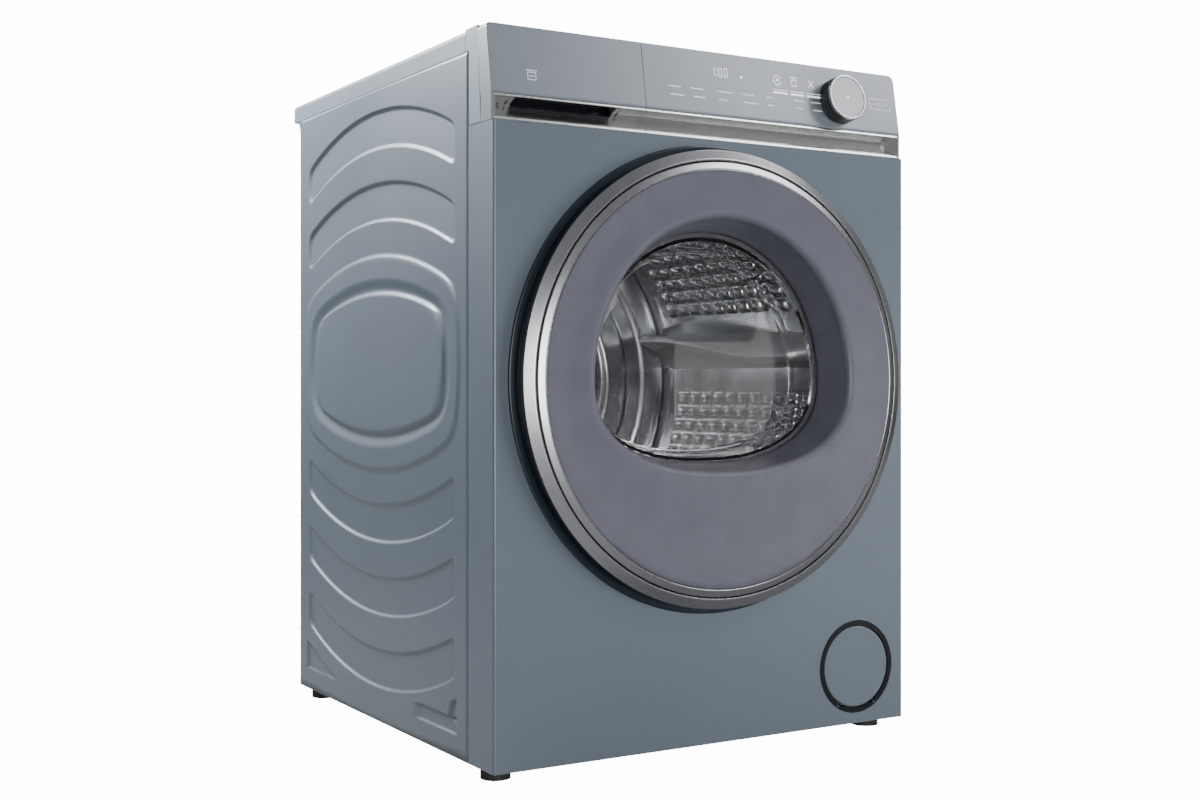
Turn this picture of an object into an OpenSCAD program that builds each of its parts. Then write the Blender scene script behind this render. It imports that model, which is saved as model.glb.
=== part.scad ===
// Clothes dryer, front loading, heat pump, with a round door and a tank drawer.
// Millimetres. +X to the user's right, +Y to the back, +Z up.
// Origin: on the floor, under the middle of the whole machine's box.
// Inside at_cabinet() the frame is the cabinet's own: y = 0 is the face of the
// front panel and z = 0 is the bottom edge of the casing, above the feet.

/* [Cabinet] */
// Width of the casing without the pressed bosses of the side panels
cab_w = 595; // [590:1:720]
// Overall height, floor to top of the worktop
cab_h = 850; // [840:1:1020]
// Depth from the front panel's face to the worktop's rear edge
cab_d = 634; // [590:1:770]
// Gap between the floor and the casing
foot_h = 15; // [10:1:25]
// Thickness of the sheet steel
sheet = 1.2; // [0.8:0.1:1.5]
// Depth of the wrapped sides of the front panel
front_wrap = 62; // [50:1:70]
// Overhang of the worktop behind the side panels
rear_overhang = 25; // [24:1:40]
// Height of the worktop's side
worktop_h = 25.4; // [18:0.2:40]
// Height of the fascia
fascia_h = 110.8; // [105:0.2:130]
// Visible seam between casing panels
seam = 0.8; // [0.5:0.1:2]

/* [Pressed side panels] */
// Depth of the pressed bands
band_depth = 4; // [2:0.5:5]
// Height of one pressed band
band_h = 47; // [30:1:50]
// Distance from one band to the next
band_pitch = 93; // [80:1:100]
// Rise of each band's arc
band_sag = 48; // [20:1:60]
// Height of the raised barrel ring
boss_h = 2.5; // [1:0.5:4]
// Width of the raised barrel ring
boss_ring = 28; // [15:1:40]

/* [Door] */
// Height of the door's and drum's centre above the casing's bottom edge
door_z = 436.5; // [420:0.5:470]
// Outer radius of the door
door_r = 272; // [260:1:280]
// How far the door stands in front of the panel
door_proj = 31; // [28:0.5:38]
// Half width of the window
window_r = 182; // [150:1:195]
// Distance from the door's centre down to the window's flat side
window_drop = 108; // [80:1:150]
// Radius of the loading throat
throat_r = 222; // [215:1:226]
// Depth of the glass bowl behind the front panel
bowl_depth = 56; // [45:1:100]
// Radius of the hinge pin
hinge_pin_r = 3; // [2:0.5:3.5]

/* [Drum] */
// Inner radius of the drum
drum_r = 278; // [262:1:279]
// Thickness of the drum's steel
drum_sheet = 1; // [0.6:0.1:1.5]
// Height of a lifter
lifter_h = 54; // [30:1:70]
// Radius of the drum's rear shaft
shaft_r = 12; // [8:0.5:15]

/* [Drive] */
// Radius of the belt pulley on the motor
pulley_r = 10; // [8:0.5:14]
// Radius of the idler wheel
idler_r = 14; // [11:0.5:16]
// Thickness of the belt
belt_t = 2.5; // [1.5:0.1:3]
// Width of the belt
belt_w = 12; // [8:0.5:16]
// Radius of the drive motor
motor_r = 50; // [40:1:52]
// Radius of the motor's shaft
motor_shaft_r = 6; // [4:0.5:8]
// Radius of the fan wheel
fan_r = 60; // [45:1:62]

/* [Tank drawer] */
// Width of the tank drawer's front
tank_w = 204; // [160:1:260]
// Length of the water tank
tank_len = 490; // [300:5:500]
// Wall of the water tank
tank_wall = 2.5; // [1.5:0.1:4]
// Width of the finger pocket
pocket_w = 133; // [80:1:140]

/* [Trim] */
// Height of the metal trim strip
trim_h = 29.3; // [24:0.1:34]
// Width of the strip's bright border
trim_border = 3; // [2:0.1:4]
// Depth of the strip's V-shaped groove
groove_depth = 14; // [8:0.5:15]

/* [Dial] */
// Radius of the dial
dial_r = 29.5; // [20:0.5:32]
// Height of the dial above the fascia
dial_h = 22; // [12:0.5:30]
// Travel of the dial when pressed
dial_travel = 1.5; // [0.5:0.1:2]
// Distance from the dial's centre to the casing's right side
dial_inset = 99.2; // [80:0.2:140]

/* [Service flap] */
// Radius of the flap
flap_r = 51.2; // [40:0.2:54]
// Width of the black ring round the flap
flap_ring = 7.5; // [5:0.5:9]
// Distance from the flap's centre to the casing's right side
flap_inset = 77.9; // [75:0.1:90]
// Height of the flap's centre above the casing's bottom edge
flap_z = 72.2; // [72:0.1:90]

/* [Feet and rear fittings] */
// Radius of a foot's pad
foot_r = 17.5; // [14:0.5:20]
// Radius of a foot's threaded stem
foot_stem_r = 5; // [4:0.5:6]
// Outer radius of the condensate drain spigot
spigot_r = 9.5; // [7:0.5:11]
// Length of the condensate drain spigot
spigot_len = 22; // [15:1:23]

/* [Hidden] */
$fn = 96;

// Clearances
run_fit = 0.05;      // radial, between a shaft and its bore
press_gap = 0.02;    // radial, between pieces that are pressed together
face_gap = 0.3;      // between curved faces of pieces that move apart
slide_gap = 2;       // around the water tank
part_gap = 0.5;      // between neighbouring plastic pieces

// Colours
slate = [0.46, 0.51, 0.56];
smoke = [0.36, 0.37, 0.42];
silver = [0.78, 0.78, 0.80];
steel = [0.66, 0.68, 0.70];
black = [0.06, 0.07, 0.09];
navy = [0.07, 0.11, 0.16];
grey_plastic = [0.55, 0.57, 0.60];
white_plastic = [0.86, 0.87, 0.88];

// Casing
half_w = cab_w / 2;
inner_x = half_w - sheet;                       // inner face of a flat side
front_y = (door_proj - cab_d) / 2;              // front panel's face in the row frame
top_z = cab_h - foot_h;                         // top of the worktop
side_top = top_z - worktop_h;                   // lower edge of the worktop
fascia_z = top_z - fascia_h;                    // lower edge of the fascia
side_y0 = front_wrap + seam;                    // front edge of a side panel
side_y1 = cab_d - rear_overhang;                // rear edge of a side panel
flange = 9;                                     // turned edge of a steel panel
rear_y = side_y1 - sheet;                       // front face of the rear panel
band_y = (side_y0 + side_y1) / 2;               // middle of the pressings
band_half = (side_y1 - side_y0) / 2 - 36;       // half length of a band
barrel_z = 458;                                 // middle of the raised barrel
barrel_half = 92;                               // half height of the barrel at its ends

// Fascia, seen from the side
fascia_wall = 3;
fascia_face_y = 6;                              // face of the upright strip
fascia_bend_z = fascia_z + 32.7;                // where the upright strip ends
fascia_top_y = 19;                              // face at the top edge
fascia_back_low = 32;                           // rear edge at the bottom
fascia_back_top = 40;                           // rear edge at the top
frame_back_y = front_wrap + 8;                  // rear edge of the frame's top
fascia_tilt = atan((fascia_top_y - fascia_face_y) / (top_z - fascia_bend_z));
trim_z = fascia_z + seam;                       // lower edge of the trim
split_x = tank_w - half_w;                      // seam beside the tank drawer
end_strip = 3;                                  // fascia beyond the trim's ends
trim_back = fascia_face_y + groove_depth + 4;
pocket_x = -half_w + 30.5;                      // left end of the finger pocket
pocket_back = 36;
pocket_top = trim_z + 51.6;
pocket_z = trim_z + 18.6;
pocket_wall = 2;

// Door
window_power = 2.35;                            // roundness of the window's lower corners
window_rise = 1.045;                            // its top's height beside its half width
skirt_back = -7;
ring_y = -21;                                   // back of the silver ring
cover_t = 3;
well_y = 18;                                    // rear end of the smoky well
well_scale = 0.935;
glass_t = 4;
glass_flange = 3;
bowl_y = well_y + glass_flange;
bowl_taper = 0.93;
bowl_r = window_r * well_scale - 4;
frame_plate = 2.5;                              // rear plate of the door
plug_r = throat_r - 4;
plug_y = bowl_y + frame_plate + part_gap;
surround_r = door_r + 8;
surround_in = door_r - 10;
opening_r = throat_r + 6;                       // hole in the front panel
hinge_x = door_r - 9.5;
hinge_y = -16;
knuckle_r = hinge_pin_r + 1.8;
leaf_half = 14.6;
ear_t = 4;
ear_z = leaf_half + 0.4;
notch_half = 34;                                // half height of the hinge pocket
catch_x = -(opening_r + 15);

// Drum and bulkheads
drum_y0 = 66;
drum_out = drum_r + drum_sheet;
rear_bulk_y = rear_y - 51.8;
drum_y1 = rear_bulk_y - 10;
bulk_y = 34;
bulk_t = 3;
collar_out = drum_r - 24;
collar_t = 4;
felt_w = 14;
lip_in = collar_out + 4;
bulk_top = fascia_z - 2;
bearing_r = shaft_r + 16;
lifter_angle = 9;                               // first lifter, above the right side
lifter_half = 42;
lifter_crest = 7;                               // half width of its crest
lifter_wall = 1.5;
lifter_y0 = drum_y0 + 30;
lifter_y1 = drum_y1 - 20;
filter_half = 84;
filter_y = 40;
filter_t = 18;
filter_low = 62;

// Drive: places are [x, z] in the casing
belt_y = 294;
belt_gap = face_gap;
motor_at = [-110, 78];
idler_at = [-70, 86];
idler_pivot = [-96, 42];
arm_t = 4;
motor_y0 = 330;
motor_y1 = 450;
tunnel_x = 56;                                  // left wall of the air tunnel
tunnel_x1 = half_w - flange - 5;                 // its right wall
tunnel_wall = 2;
tunnel_top = 138;
tunnel_y0 = 66;
cross_y0 = 458;
fan_y0 = rear_bulk_y - 41;
fan_y1 = rear_bulk_y - 3;
cross_y1 = fan_y0 - 2;
fan_in_r = 40;
cross_x = -172;
hx_x0 = tunnel_x + 8;
hx_x1 = tunnel_x1 - 6;

// Tank
tub_x0 = -half_w + 10.5;
tub_x1 = split_x - 7.5;
tub_y0 = pocket_back + pocket_wall + part_gap;
tub_z0 = fascia_z + 11;
tub_z1 = side_top - 11.6;
lid_t = 2.5;

// Service socket
flap_x = half_w - flap_inset;
flap_t = 4;
flap_hole = flap_r + 0.9;
flap_drop = flap_r - 6.2;
flap_pin_r = 1.2;
flap_relief = chord(flap_r, flap_drop - 4);      // half width of the ring's relief
socket_wall = 2.8;
socket_r = flap_hole + socket_wall;
socket_end = 62;

foot_x = half_w - 25.5;
foot_y0 = 45;
foot_y1 = side_y1 - 29;
foot_pad_h = 9;
foot_stem_up = 26;                              // stem above the casing's bottom edge
tray_floor = 4;
tray_rim = 22;

// Plug behind the service flap
plug_face = 14;                                 // front of its flange
plug_flange = 8;
sleeve_r = flap_hole - 6.1;                     // its filter sleeve
sleeve_wall = 4;
sleeve_end = 58;
grip_half = 30;
grip_t = 5;

// Rear of the casing: places are [x, z]
duct_r = 205;                                   // round part of the rear air duct
duct_rim = 16;                                  // its cover's turned rim
duct_wall_in = 4;                               // the cover's wall stands this far inside the duct
duct_depth = 21;
neck_half = 70;                                 // neck that leads down to the fan
neck_low = 24;
neck_h = 260;
screw_r = 4;
screw_h = 2.2;
screw_inset = 14;
louvre_x = half_w - 147.5;                      // left end of the louvres
louvre_w = 100;
louvre_h = 6;
louvre_pitch = 14;
louvre_low = 40;
spigot_at = [47.5 - half_w, 120];
spigot_wall = 2.2;
inlet_at = [half_w - 71.5, 188];
inlet_half = [30, 20];
inlet_t = 12;

// Fan wheel, from the front of its housing
blade_y = 8;
blade_len = 20;
blade_w = 21.5;
blade_t = 2;
fan_disc_y = 29;
fan_hub_y = 12;

// Half the width of a circle of radius r at a distance d from its centre
function chord(r, d) = sqrt(r * r - d * d);

// Places everything drawn in the casing's own frame
module at_cabinet() translate([0, front_y, foot_h]) children();
module at_door() at_cabinet() translate([0, 0, door_z]) children();
// A frame on the tilted fascia, with +Z out of its face
module at_dial() {
    z = top_z - 45.3;
    y = fascia_face_y + (z - fascia_bend_z) * tan(fascia_tilt);
    at_cabinet() translate([half_w - dial_inset, y, z]) rotate([90 - fascia_tilt, 0, 0]) children();
}

module block(lo, hi) translate(lo) cube(hi - lo);
module y_cyl(r, y0, y1) translate([0, y0, 0]) rotate([-90, 0, 0]) cylinder(r = r, h = y1 - y0);
module y_tube(r_out, r_in, y0, y1) difference() {
    y_cyl(r_out, y0, y1);
    y_cyl(r_in, y0 - 1, y1 + 1);
}
// Revolves [radius, y] points round the Y axis
module y_ring(points) rotate([-90, 0, 0]) rotate_extrude($fn = 180) polygon(points);
// Extrudes [y, z] points along X, and [x, z] shapes along Y
module x_prism(points, x0, x1)
    translate([x0, 0, 0]) rotate([90, 0, 90]) linear_extrude(x1 - x0) polygon(points);
module y_prism(y0, y1) translate([0, y1, 0]) rotate([90, 0, 0]) linear_extrude(y1 - y0) children();
// Extrudes a [y, z] shape along X
module x_shape(x0, x1) translate([x0, 0, 0]) rotate([90, 0, 90]) linear_extrude(x1 - x0) children();
module both_sides() {
    children();
    mirror([1, 0, 0]) children();
}

// ---- Casing ----

// Radius of the arc over a chord of half length c with a rise of s
function arc_r(c, s) = (c * c + s * s) / (2 * s);

// One crescent band in [y, z]; dir is 1 for an arch and -1 for a sag
module band_shape(z_end, dir, grow) {
    r = arc_r(band_half, band_sag);
    centre = z_end + dir * (band_sag - r);
    intersection() {
        difference() {
            translate([band_y, centre]) circle(r = r + grow, $fn = 240);
            translate([band_y, centre - dir * band_h]) circle(r = r - grow, $fn = 240);
        }
        translate([band_y - band_half - grow, z_end - dir * band_h - (dir > 0 ? 60 : 2 * band_sag)])
            square([2 * (band_half + grow), 2 * band_sag + band_h + 60]);
    }
}
module all_bands(grow) {
    for (i = [0, 1]) band_shape(top_z - 102.5 - i * band_pitch, 1, grow);
    for (i = [0 : 2]) band_shape(92 + i * band_pitch, -1, grow);
}
// The barrel between the bands, made of four arcs
module barrel_shape(grow) {
    w = band_half + 8 + grow;
    h = barrel_half + grow;
    r = arc_r(band_half, band_sag);
    side_r = arc_r(barrel_half, 16);
    intersection() {
        translate([band_y, barrel_z + h + band_sag - r]) circle(r = r, $fn = 240);
        translate([band_y, barrel_z - h - band_sag + r]) circle(r = r, $fn = 240);
        translate([band_y + w + 16 - side_r, barrel_z]) circle(r = side_r, $fn = 120);
        translate([band_y - w - 16 + side_r, barrel_z]) circle(r = side_r, $fn = 120);
    }
}
module side_panel() {
    x = -half_w;
    difference() {
        union() {
            block([x, side_y0, 0], [x + sheet, side_y1, side_top - seam]);
            block([x, side_y0, 0], [x + flange, side_y0 + sheet, side_top - seam]);
            block([x, side_y0, side_top - seam - sheet], [x + flange, side_y1, side_top - seam]);
            x_shape(x + sheet, x + sheet + band_depth) all_bands(sheet);
            x_shape(x - boss_h, x) barrel_shape(0);
        }
        x_shape(x - 1, x + band_depth) all_bands(0);
        x_shape(x - boss_h + sheet, x + sheet + 1) difference() {
            barrel_shape(-sheet);
            barrel_shape(-boss_ring + sheet);
        }
        x_shape(x - boss_h - 1, x) barrel_shape(-boss_ring);
    }
}
module left_side_panel() color(slate) at_cabinet() side_panel();
module right_side_panel() color(slate) at_cabinet() mirror([1, 0, 0]) side_panel();

module front_panel() color(slate) at_cabinet() difference() {
    union() {
        block([-half_w, 0, 0], [half_w, sheet, fascia_z - part_gap]);
        both_sides() block([inner_x, 0, 0], [half_w, front_wrap, fascia_z - part_gap]);
        translate([0, 0, door_z]) y_cyl(opening_r + sheet, 0, flange);
    }
    translate([0, 0, door_z]) y_cyl(opening_r, -1, flange + 1);
    translate([flap_x, 0, flap_z]) y_cyl(socket_r + part_gap, -1, sheet + 1);
    block([catch_x - 8, -1, door_z - 10], [catch_x + 8, sheet + 1, door_z + 10]);
}

// Outline of the rear air duct: a round part with a neck down to the fan
module duct_shape(grow) {
    translate([0, door_z]) circle(r = duct_r + grow);
    translate([motor_at[0] - neck_half - grow, neck_low - grow])
        square([2 * (neck_half + grow), neck_h]);
}
module rear_panel() color(steel) at_cabinet() difference() {
    union() {
        block([-inner_x, rear_y, tray_floor], [inner_x, side_y1, side_top - 3]);
        block([-inner_x, rear_y - flange, side_top - 3 - sheet], [inner_x, side_y1, side_top - 3]);
    }
    y_prism(rear_y - 1, side_y1 + 1) duct_shape(0);
    for (i = [0 : 6]) translate([louvre_x, rear_y - 1, louvre_low + i * louvre_pitch])
        cube([louvre_w, sheet + 2, louvre_h]);
    translate([spigot_at[0], 0, spigot_at[1]]) y_cyl(spigot_r - 2, rear_y - 1, side_y1 + 1);
}
module rear_duct_cover() color(steel) at_cabinet() difference() {
    union() {
        y_prism(side_y1, side_y1 + sheet) duct_shape(duct_rim);
        y_prism(side_y1, side_y1 + duct_depth) duct_shape(-duct_wall_in);
    }
    y_prism(side_y1 - 1, side_y1 + duct_depth - sheet) duct_shape(-duct_wall_in - sheet);
}
module rear_screws() color(silver) at_cabinet() {
    rim_r = duct_r + duct_rim / 2;
    for (x = [-1, 1], i = [0 : 4])
        translate([x * (half_w - screw_inset), 0, 60 + i * (side_top - 90) / 4])
            y_cyl(screw_r, side_y1, side_y1 + screw_h);
    for (a = [0 : 45 : 180]) translate([rim_r * cos(a), 0, door_z + rim_r * sin(a)])
        y_cyl(screw_r, side_y1 + sheet, side_y1 + sheet + screw_h);
}

worktop_edge = 7;                               // radius of the worktop's top edges
module worktop() color(slate) at_cabinet() {
    y0 = frame_back_y + seam;
    wall = 3.2;
    difference() {
        intersection() {
            block([-half_w, y0, side_top], [half_w, cab_d, top_z]);
            y_prism(y0 - 1, cab_d + 1) rounded_top(half_w, side_top - 1, top_z, worktop_edge);
            x_shape(-half_w - 1, half_w + 1)
                rounded_back(y0 - 1, cab_d, side_top - 1, top_z, worktop_edge);
        }
        block([-half_w + wall, y0 + wall, side_top - 1], [half_w - wall, side_y1 - wall, top_z - 8]);
    }
    // Quarter-round moulding below the overhang
    difference() {
        block([-half_w + 1, side_y1, side_top - 15], [half_w - 1, cab_d - 3, side_top]);
        translate([0, cab_d - 1, side_top - 17]) rotate([0, 90, 0])
            cylinder(r = 20, h = cab_w + 2, center = true);
    }
}
module rounded_top(half, z0, z1, r) {
    translate([-half, z0]) square([2 * half, z1 - z0 - r]);
    translate([-half + r, z0]) square([2 * (half - r), z1 - z0]);
    for (s = [-1, 1]) translate([s * (half - r), z1 - r]) circle(r = r);
}
module rounded_back(y0, y1, z0, z1, r) {
    translate([y0, z0]) square([y1 - y0, z1 - z0 - r]);
    translate([y0, z0]) square([y1 - y0 - r, z1 - z0]);
    translate([y1 - r, z1 - r]) circle(r = r);
}

// ---- Fascia, trim and tank drawer ----

function fascia_outline(in) = [
    [fascia_back_low - part_gap + in, fascia_z + in], [fascia_face_y + in, fascia_z + in],
    [fascia_face_y + in, fascia_bend_z], [fascia_top_y + in, top_z - in],
    [fascia_back_top - part_gap + in, top_z - in]
];
// Skin of the fascia from x0 to x1 with closed ends where asked
module fascia_skin(x0, x1, left_end, right_end) difference() {
    x_prism(fascia_outline(0), x0, x1);
    x_prism(fascia_outline(fascia_wall), left_end ? x0 + fascia_wall : x0 - 1,
        right_end ? x1 - fascia_wall : x1 + 1);
    block([left_end ? x0 + end_strip : x0 - 1, 0, fascia_z - 1],
        [right_end ? x1 - end_strip : x1 + 1, fascia_back_top, trim_z + trim_h + 0.2]);
}
// Metal strip with a V-shaped groove and mitred ends where asked
module trim_strip(x0, x1, left_end, right_end) difference() {
    block([x0, fascia_face_y, trim_z], [x1, trim_back, trim_z + trim_h]);
    valley = fascia_face_y + groove_depth;
    z0 = trim_z + trim_border;
    z1 = trim_z + trim_h - trim_border;
    slope = (valley - fascia_face_y + 1) / (valley - fascia_face_y);
    zv = trim_z + 18.7;
    intersection() {
        x_prism([[valley, zv], [valley - slope * groove_depth, zv - slope * (zv - z0)],
            [valley - slope * groove_depth, zv + slope * (z1 - zv)]], x0 - 1, x1 + 1);
        translate([0, 0, trim_z - 1]) linear_extrude(trim_h + 2) polygon([
            [left_end ? x0 + trim_border : x0 - 1, fascia_face_y - 1],
            [left_end ? x0 + trim_border + 11 : x0 - 1, valley + 0.5],
            [right_end ? x1 - trim_border - 11 : x1 + 1, valley + 0.5],
            [right_end ? x1 - trim_border : x1 + 1, fascia_face_y - 1]
        ]);
    }
}
module fascia() color(slate) difference() {
    at_cabinet() fascia_skin(split_x + seam / 2, half_w, false, true);
    at_dial() translate([0, 0, -20]) cylinder(r = 7, h = 30);
}
module fascia_trim() color(silver) at_cabinet()
    trim_strip(split_x + seam / 2, half_w - end_strip - 0.2, false, true);

module fascia_frame() color(slate) at_cabinet() difference() {
    x_prism([[fascia_back_low, fascia_z], [front_wrap, fascia_z], [front_wrap, side_top],
        [frame_back_y, side_top], [frame_back_y, top_z], [fascia_back_top, top_z]], -half_w, half_w);
    x_prism([[fascia_back_low + 4, fascia_z + fascia_wall], [frame_back_y + 9, fascia_z + fascia_wall],
        [frame_back_y + 9, top_z - fascia_wall], [fascia_back_top + 4, top_z - fascia_wall]],
        -half_w + fascia_wall, half_w - fascia_wall);
    block([tub_x0 - 5, 0, tub_z0 - slide_gap], [tub_x1 + 5, 60, tub_z1 + lid_t + slide_gap]);
    block([split_x + 14, 0, fascia_bend_z + 4], [half_w - 12, 60, top_z - 9]);
}
board_t = 1.6;
board_h = 54;
encoder_low = -16;
encoder_half = 12;
dial_shaft_r = 4;
module control_board() color([0.1, 0.35, 0.2]) at_dial() {
    left = -(half_w - dial_inset) + split_x + 30;
    difference() {
        union() {
            translate([left, -board_h / 2 + 5, encoder_low - board_t])
                cube([dial_inset - 20 - left, board_h, board_t]);
            translate([-encoder_half, -encoder_half, encoder_low])
                cube([2 * encoder_half, 2 * encoder_half, 9]);
        }
        translate([0, 0, encoder_low - 5]) cylinder(r = dial_shaft_r + run_fit, h = 20);
    }
    // Display block and a row of touch springs
    translate([left + 60, 4, encoder_low]) cube([70, 24, 6]);
    for (i = [0 : 4]) translate([left + 12 + i * 38, -16, encoder_low]) cube([12, 8, 5]);
}
module dial_shaft() color(steel) at_dial() translate([0, 0, encoder_low - 2])
    cylinder(r = dial_shaft_r, h = dial_h - encoder_low - 4);
module dial_knob() color(slate) at_dial() difference() {
    translate([0, 0, dial_travel + 0.4]) union() {
        cylinder(r = dial_r, h = dial_h - dial_travel - 1.4);
        cylinder(r = dial_r - 1, h = dial_h - dial_travel - 0.4);
    }
    translate([0, 0, -1]) difference() {
        cylinder(r = dial_r - 2.5, h = dial_h - 3);
        cylinder(r = 9, h = dial_h);
    }
    translate([0, 0, -1]) cylinder(r = dial_shaft_r + run_fit, h = dial_h - 0.8);
}

module tank_front() color(slate) at_cabinet() fascia_skin(-half_w, split_x - seam / 2, true, false);
module tank_trim() color(silver) at_cabinet() difference() {
    union() {
        trim_strip(-half_w + end_strip + 0.2, split_x - seam / 2, true, false);
        block([pocket_x - pocket_wall, 14, pocket_z - pocket_wall],
            [pocket_x + pocket_w + pocket_wall, pocket_back + pocket_wall, pocket_top + pocket_wall]);
    }
    block([pocket_x, 16, pocket_z], [pocket_x + pocket_w, pocket_back, pocket_top]);
    block([pocket_x, fascia_face_y - 1, pocket_z],
        [pocket_x + pocket_w, pocket_back, trim_z + trim_h - trim_border]);
}
module water_tank() color(white_plastic) at_cabinet() difference() {
    block([tub_x0, tub_y0, tub_z0], [tub_x1, tub_y0 + tank_len, tub_z1]);
    block([tub_x0 + tank_wall, tub_y0 + tank_wall, tub_z0 + tank_wall],
        [tub_x1 - tank_wall, tub_y0 + tank_len - tank_wall, tub_z1 + 1]);
}
module tank_lid() color(grey_plastic) at_cabinet() difference() {
    block([tub_x0, tub_y0, tub_z1], [tub_x1, tub_y0 + tank_len, tub_z1 + lid_t]);
    translate([(tub_x0 + tub_x1) / 2, tub_y0 + tank_len - 40, tub_z1 - 1]) cylinder(r = 16, h = 9);
    translate([tub_x1 - 26, tub_y0 + 60, tub_z1 - 1]) cylinder(r = 12, h = 9);
}
housing_wall = 1.6;
housing_stop = 3;                               // free space behind the tank
housing_over = 4;                               // rise of its walls over the tank
module tank_housing() color(grey_plastic) at_cabinet() {
    x0 = tub_x0 - slide_gap;
    x1 = tub_x1 + slide_gap;
    y1 = tub_y0 + tank_len + housing_stop;
    z0 = tub_z0 - slide_gap / 2;
    difference() {
        block([x0 - housing_wall, front_wrap + 2, z0 - housing_wall],
            [x1 + housing_wall, y1 + housing_wall, tub_z1 + housing_over]);
        block([x0, front_wrap + 1, z0], [x1, y1, tub_z1 + housing_over + 1]);
    }
}

// ---- Base and air path ----

cradle_half = 42;                               // the motor's cradles
cradle_t = 12;
cradle_drop = 12;                               // below the motor's axis
post_half = 9;                                  // the idler arm's post
post_y = belt_y + 26;
post_t = 6;
post_pin_r = 4;
module base_tray() color([0.25, 0.26, 0.28]) at_cabinet() {
    x = half_w - flange - 1;
    y0 = 14;
    y1 = rear_y - 2;
    difference() {
        union() {
            difference() {
                block([-x, y0, 0], [x, y1, tray_rim]);
                block([-x + 3, y0 + 3, tray_floor], [x - 3, y1 - 3, tray_rim + 1]);
            }
            for (sx = [-1, 1], y = [foot_y0, foot_y1]) translate([sx * foot_x, y, 0])
                cylinder(r = foot_stem_r + 7, h = tray_rim);
        }
        for (sx = [-1, 1], y = [foot_y0, foot_y1]) translate([sx * foot_x, y, -1])
            cylinder(r = foot_stem_r + run_fit, h = tray_rim + 2);
        translate([flap_x, 0, flap_z]) y_cyl(socket_r + part_gap, 0, 30);
    }
    // Two cradles that the motor lies in
    for (y = [motor_y0 + 8, motor_y1 - 8 - cradle_t]) difference() {
        block([motor_at[0] - cradle_half, y, tray_floor],
            [motor_at[0] + cradle_half, y + cradle_t, motor_at[1] - cradle_drop]);
        translate([motor_at[0], 0, motor_at[1]]) y_cyl(motor_r + press_gap, y - 1, y + cradle_t + 1);
    }
    // Post with the pin that the idler arm turns on
    block([idler_pivot[0] - post_half, post_y, tray_floor],
        [idler_pivot[0] + post_half, post_y + post_t, idler_pivot[1] + post_half]);
    translate([idler_pivot[0], 0, idler_pivot[1]]) y_cyl(post_pin_r, belt_y + 14, post_y + 1);
}
module foot(x, y) color(black) at_cabinet() translate([x, y, 0]) {
    translate([0, 0, -foot_h]) cylinder(r = foot_r, h = foot_pad_h);
    translate([0, 0, -foot_h]) cylinder(r = foot_stem_r, h = foot_h + foot_stem_up);
}
module foot_front_left() foot(-foot_x, foot_y0);
module foot_front_right() foot(foot_x, foot_y0);
module foot_rear_left() foot(-foot_x, foot_y1);
module foot_rear_right() foot(foot_x, foot_y1);

module air_tunnel() color(grey_plastic) at_cabinet() {
    w = tunnel_wall;
    z0 = tray_floor;
    difference() {
        union() {
            block([tunnel_x, tunnel_y0, z0], [tunnel_x1, cross_y1, tunnel_top]);
            block([cross_x, cross_y0, z0], [tunnel_x1, cross_y1, tunnel_top]);
        }
        block([tunnel_x + w, tunnel_y0 + w, z0 + w], [tunnel_x1 - w, cross_y1 - w, tunnel_top - w]);
        block([cross_x + w, cross_y0 + w, z0 + w], [tunnel_x1 - w, cross_y1 - w, tunnel_top - w]);
        block([tunnel_x + 20, tunnel_y0 - 1, 24], [flap_x - 62, tunnel_y0 + w + 1, tunnel_top - 12]);
        translate([motor_at[0], 0, motor_at[1]]) {
            y_cyl(motor_shaft_r + 3, cross_y0 - 1, cross_y0 + w + 1);
            y_cyl(fan_in_r, cross_y1 - w - 1, cross_y1 + 1);
        }
    }
    translate([motor_at[0], 0, motor_at[1]]) fan_housing();
}
// Round housing of the fan, moulded onto the tunnel by a collar round its inlet
module fan_housing() difference() {
    union() {
        y_cyl(fan_r + 8, fan_y0, fan_y1);
        y_cyl(fan_in_r + 4, cross_y1 - tunnel_wall, fan_y0 + 1);
    }
    y_cyl(fan_r + 5, fan_y0 + 2, fan_y1 - 2);
    y_cyl(fan_in_r, cross_y1 - tunnel_wall - 1, fan_y0 + 3);
    y_cyl(fan_r - 6, fan_y1 - 3, fan_y1 + 1);
}
module fan_impeller() color(black) at_cabinet() translate([motor_at[0], 0, motor_at[1]]) {
    y_tube(fan_r, motor_shaft_r + press_gap, fan_y0 + fan_disc_y, fan_y0 + fan_disc_y + 2);
    y_tube(motor_shaft_r + 7, motor_shaft_r + press_gap, fan_y0 + fan_hub_y, fan_y0 + fan_disc_y);
    for (a = [0 : 30 : 330]) rotate([0, a, 0])
        translate([fan_r - blade_len - 2, fan_y0 + blade_y, -blade_t / 2])
            cube([blade_len, blade_w, blade_t]);
}
module motor_shaft() color(steel) at_cabinet() translate([motor_at[0], 0, motor_at[1]]) {
    y_cyl(motor_shaft_r, belt_y - 6, fan_y0 + 32);
    y_cyl(pulley_r, belt_y - 1, belt_y + belt_w + 1);
    y_cyl(pulley_r + 3, belt_y - 3, belt_y - 1);
}
module motor_housing() color([0.3, 0.31, 0.33]) at_cabinet() translate([motor_at[0], 0, motor_at[1]])
difference() {
    union() {
        y_cyl(motor_r, motor_y0, motor_y1);
        y_cyl(18, motor_y0 - 8, motor_y0);
    }
    y_cyl(motor_shaft_r + run_fit, motor_y0 - 9, motor_y1 + 1);
}
compressor_at = [-half_w + 66, 425];             // its axis, in x and y
compressor_r = 48;
compressor_h = 150;
compressor_dome = [30, 14];                     // radius at the dome's top, and its height
compressor_cap = [8, 8];                        // terminal cap: radius, height
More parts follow.
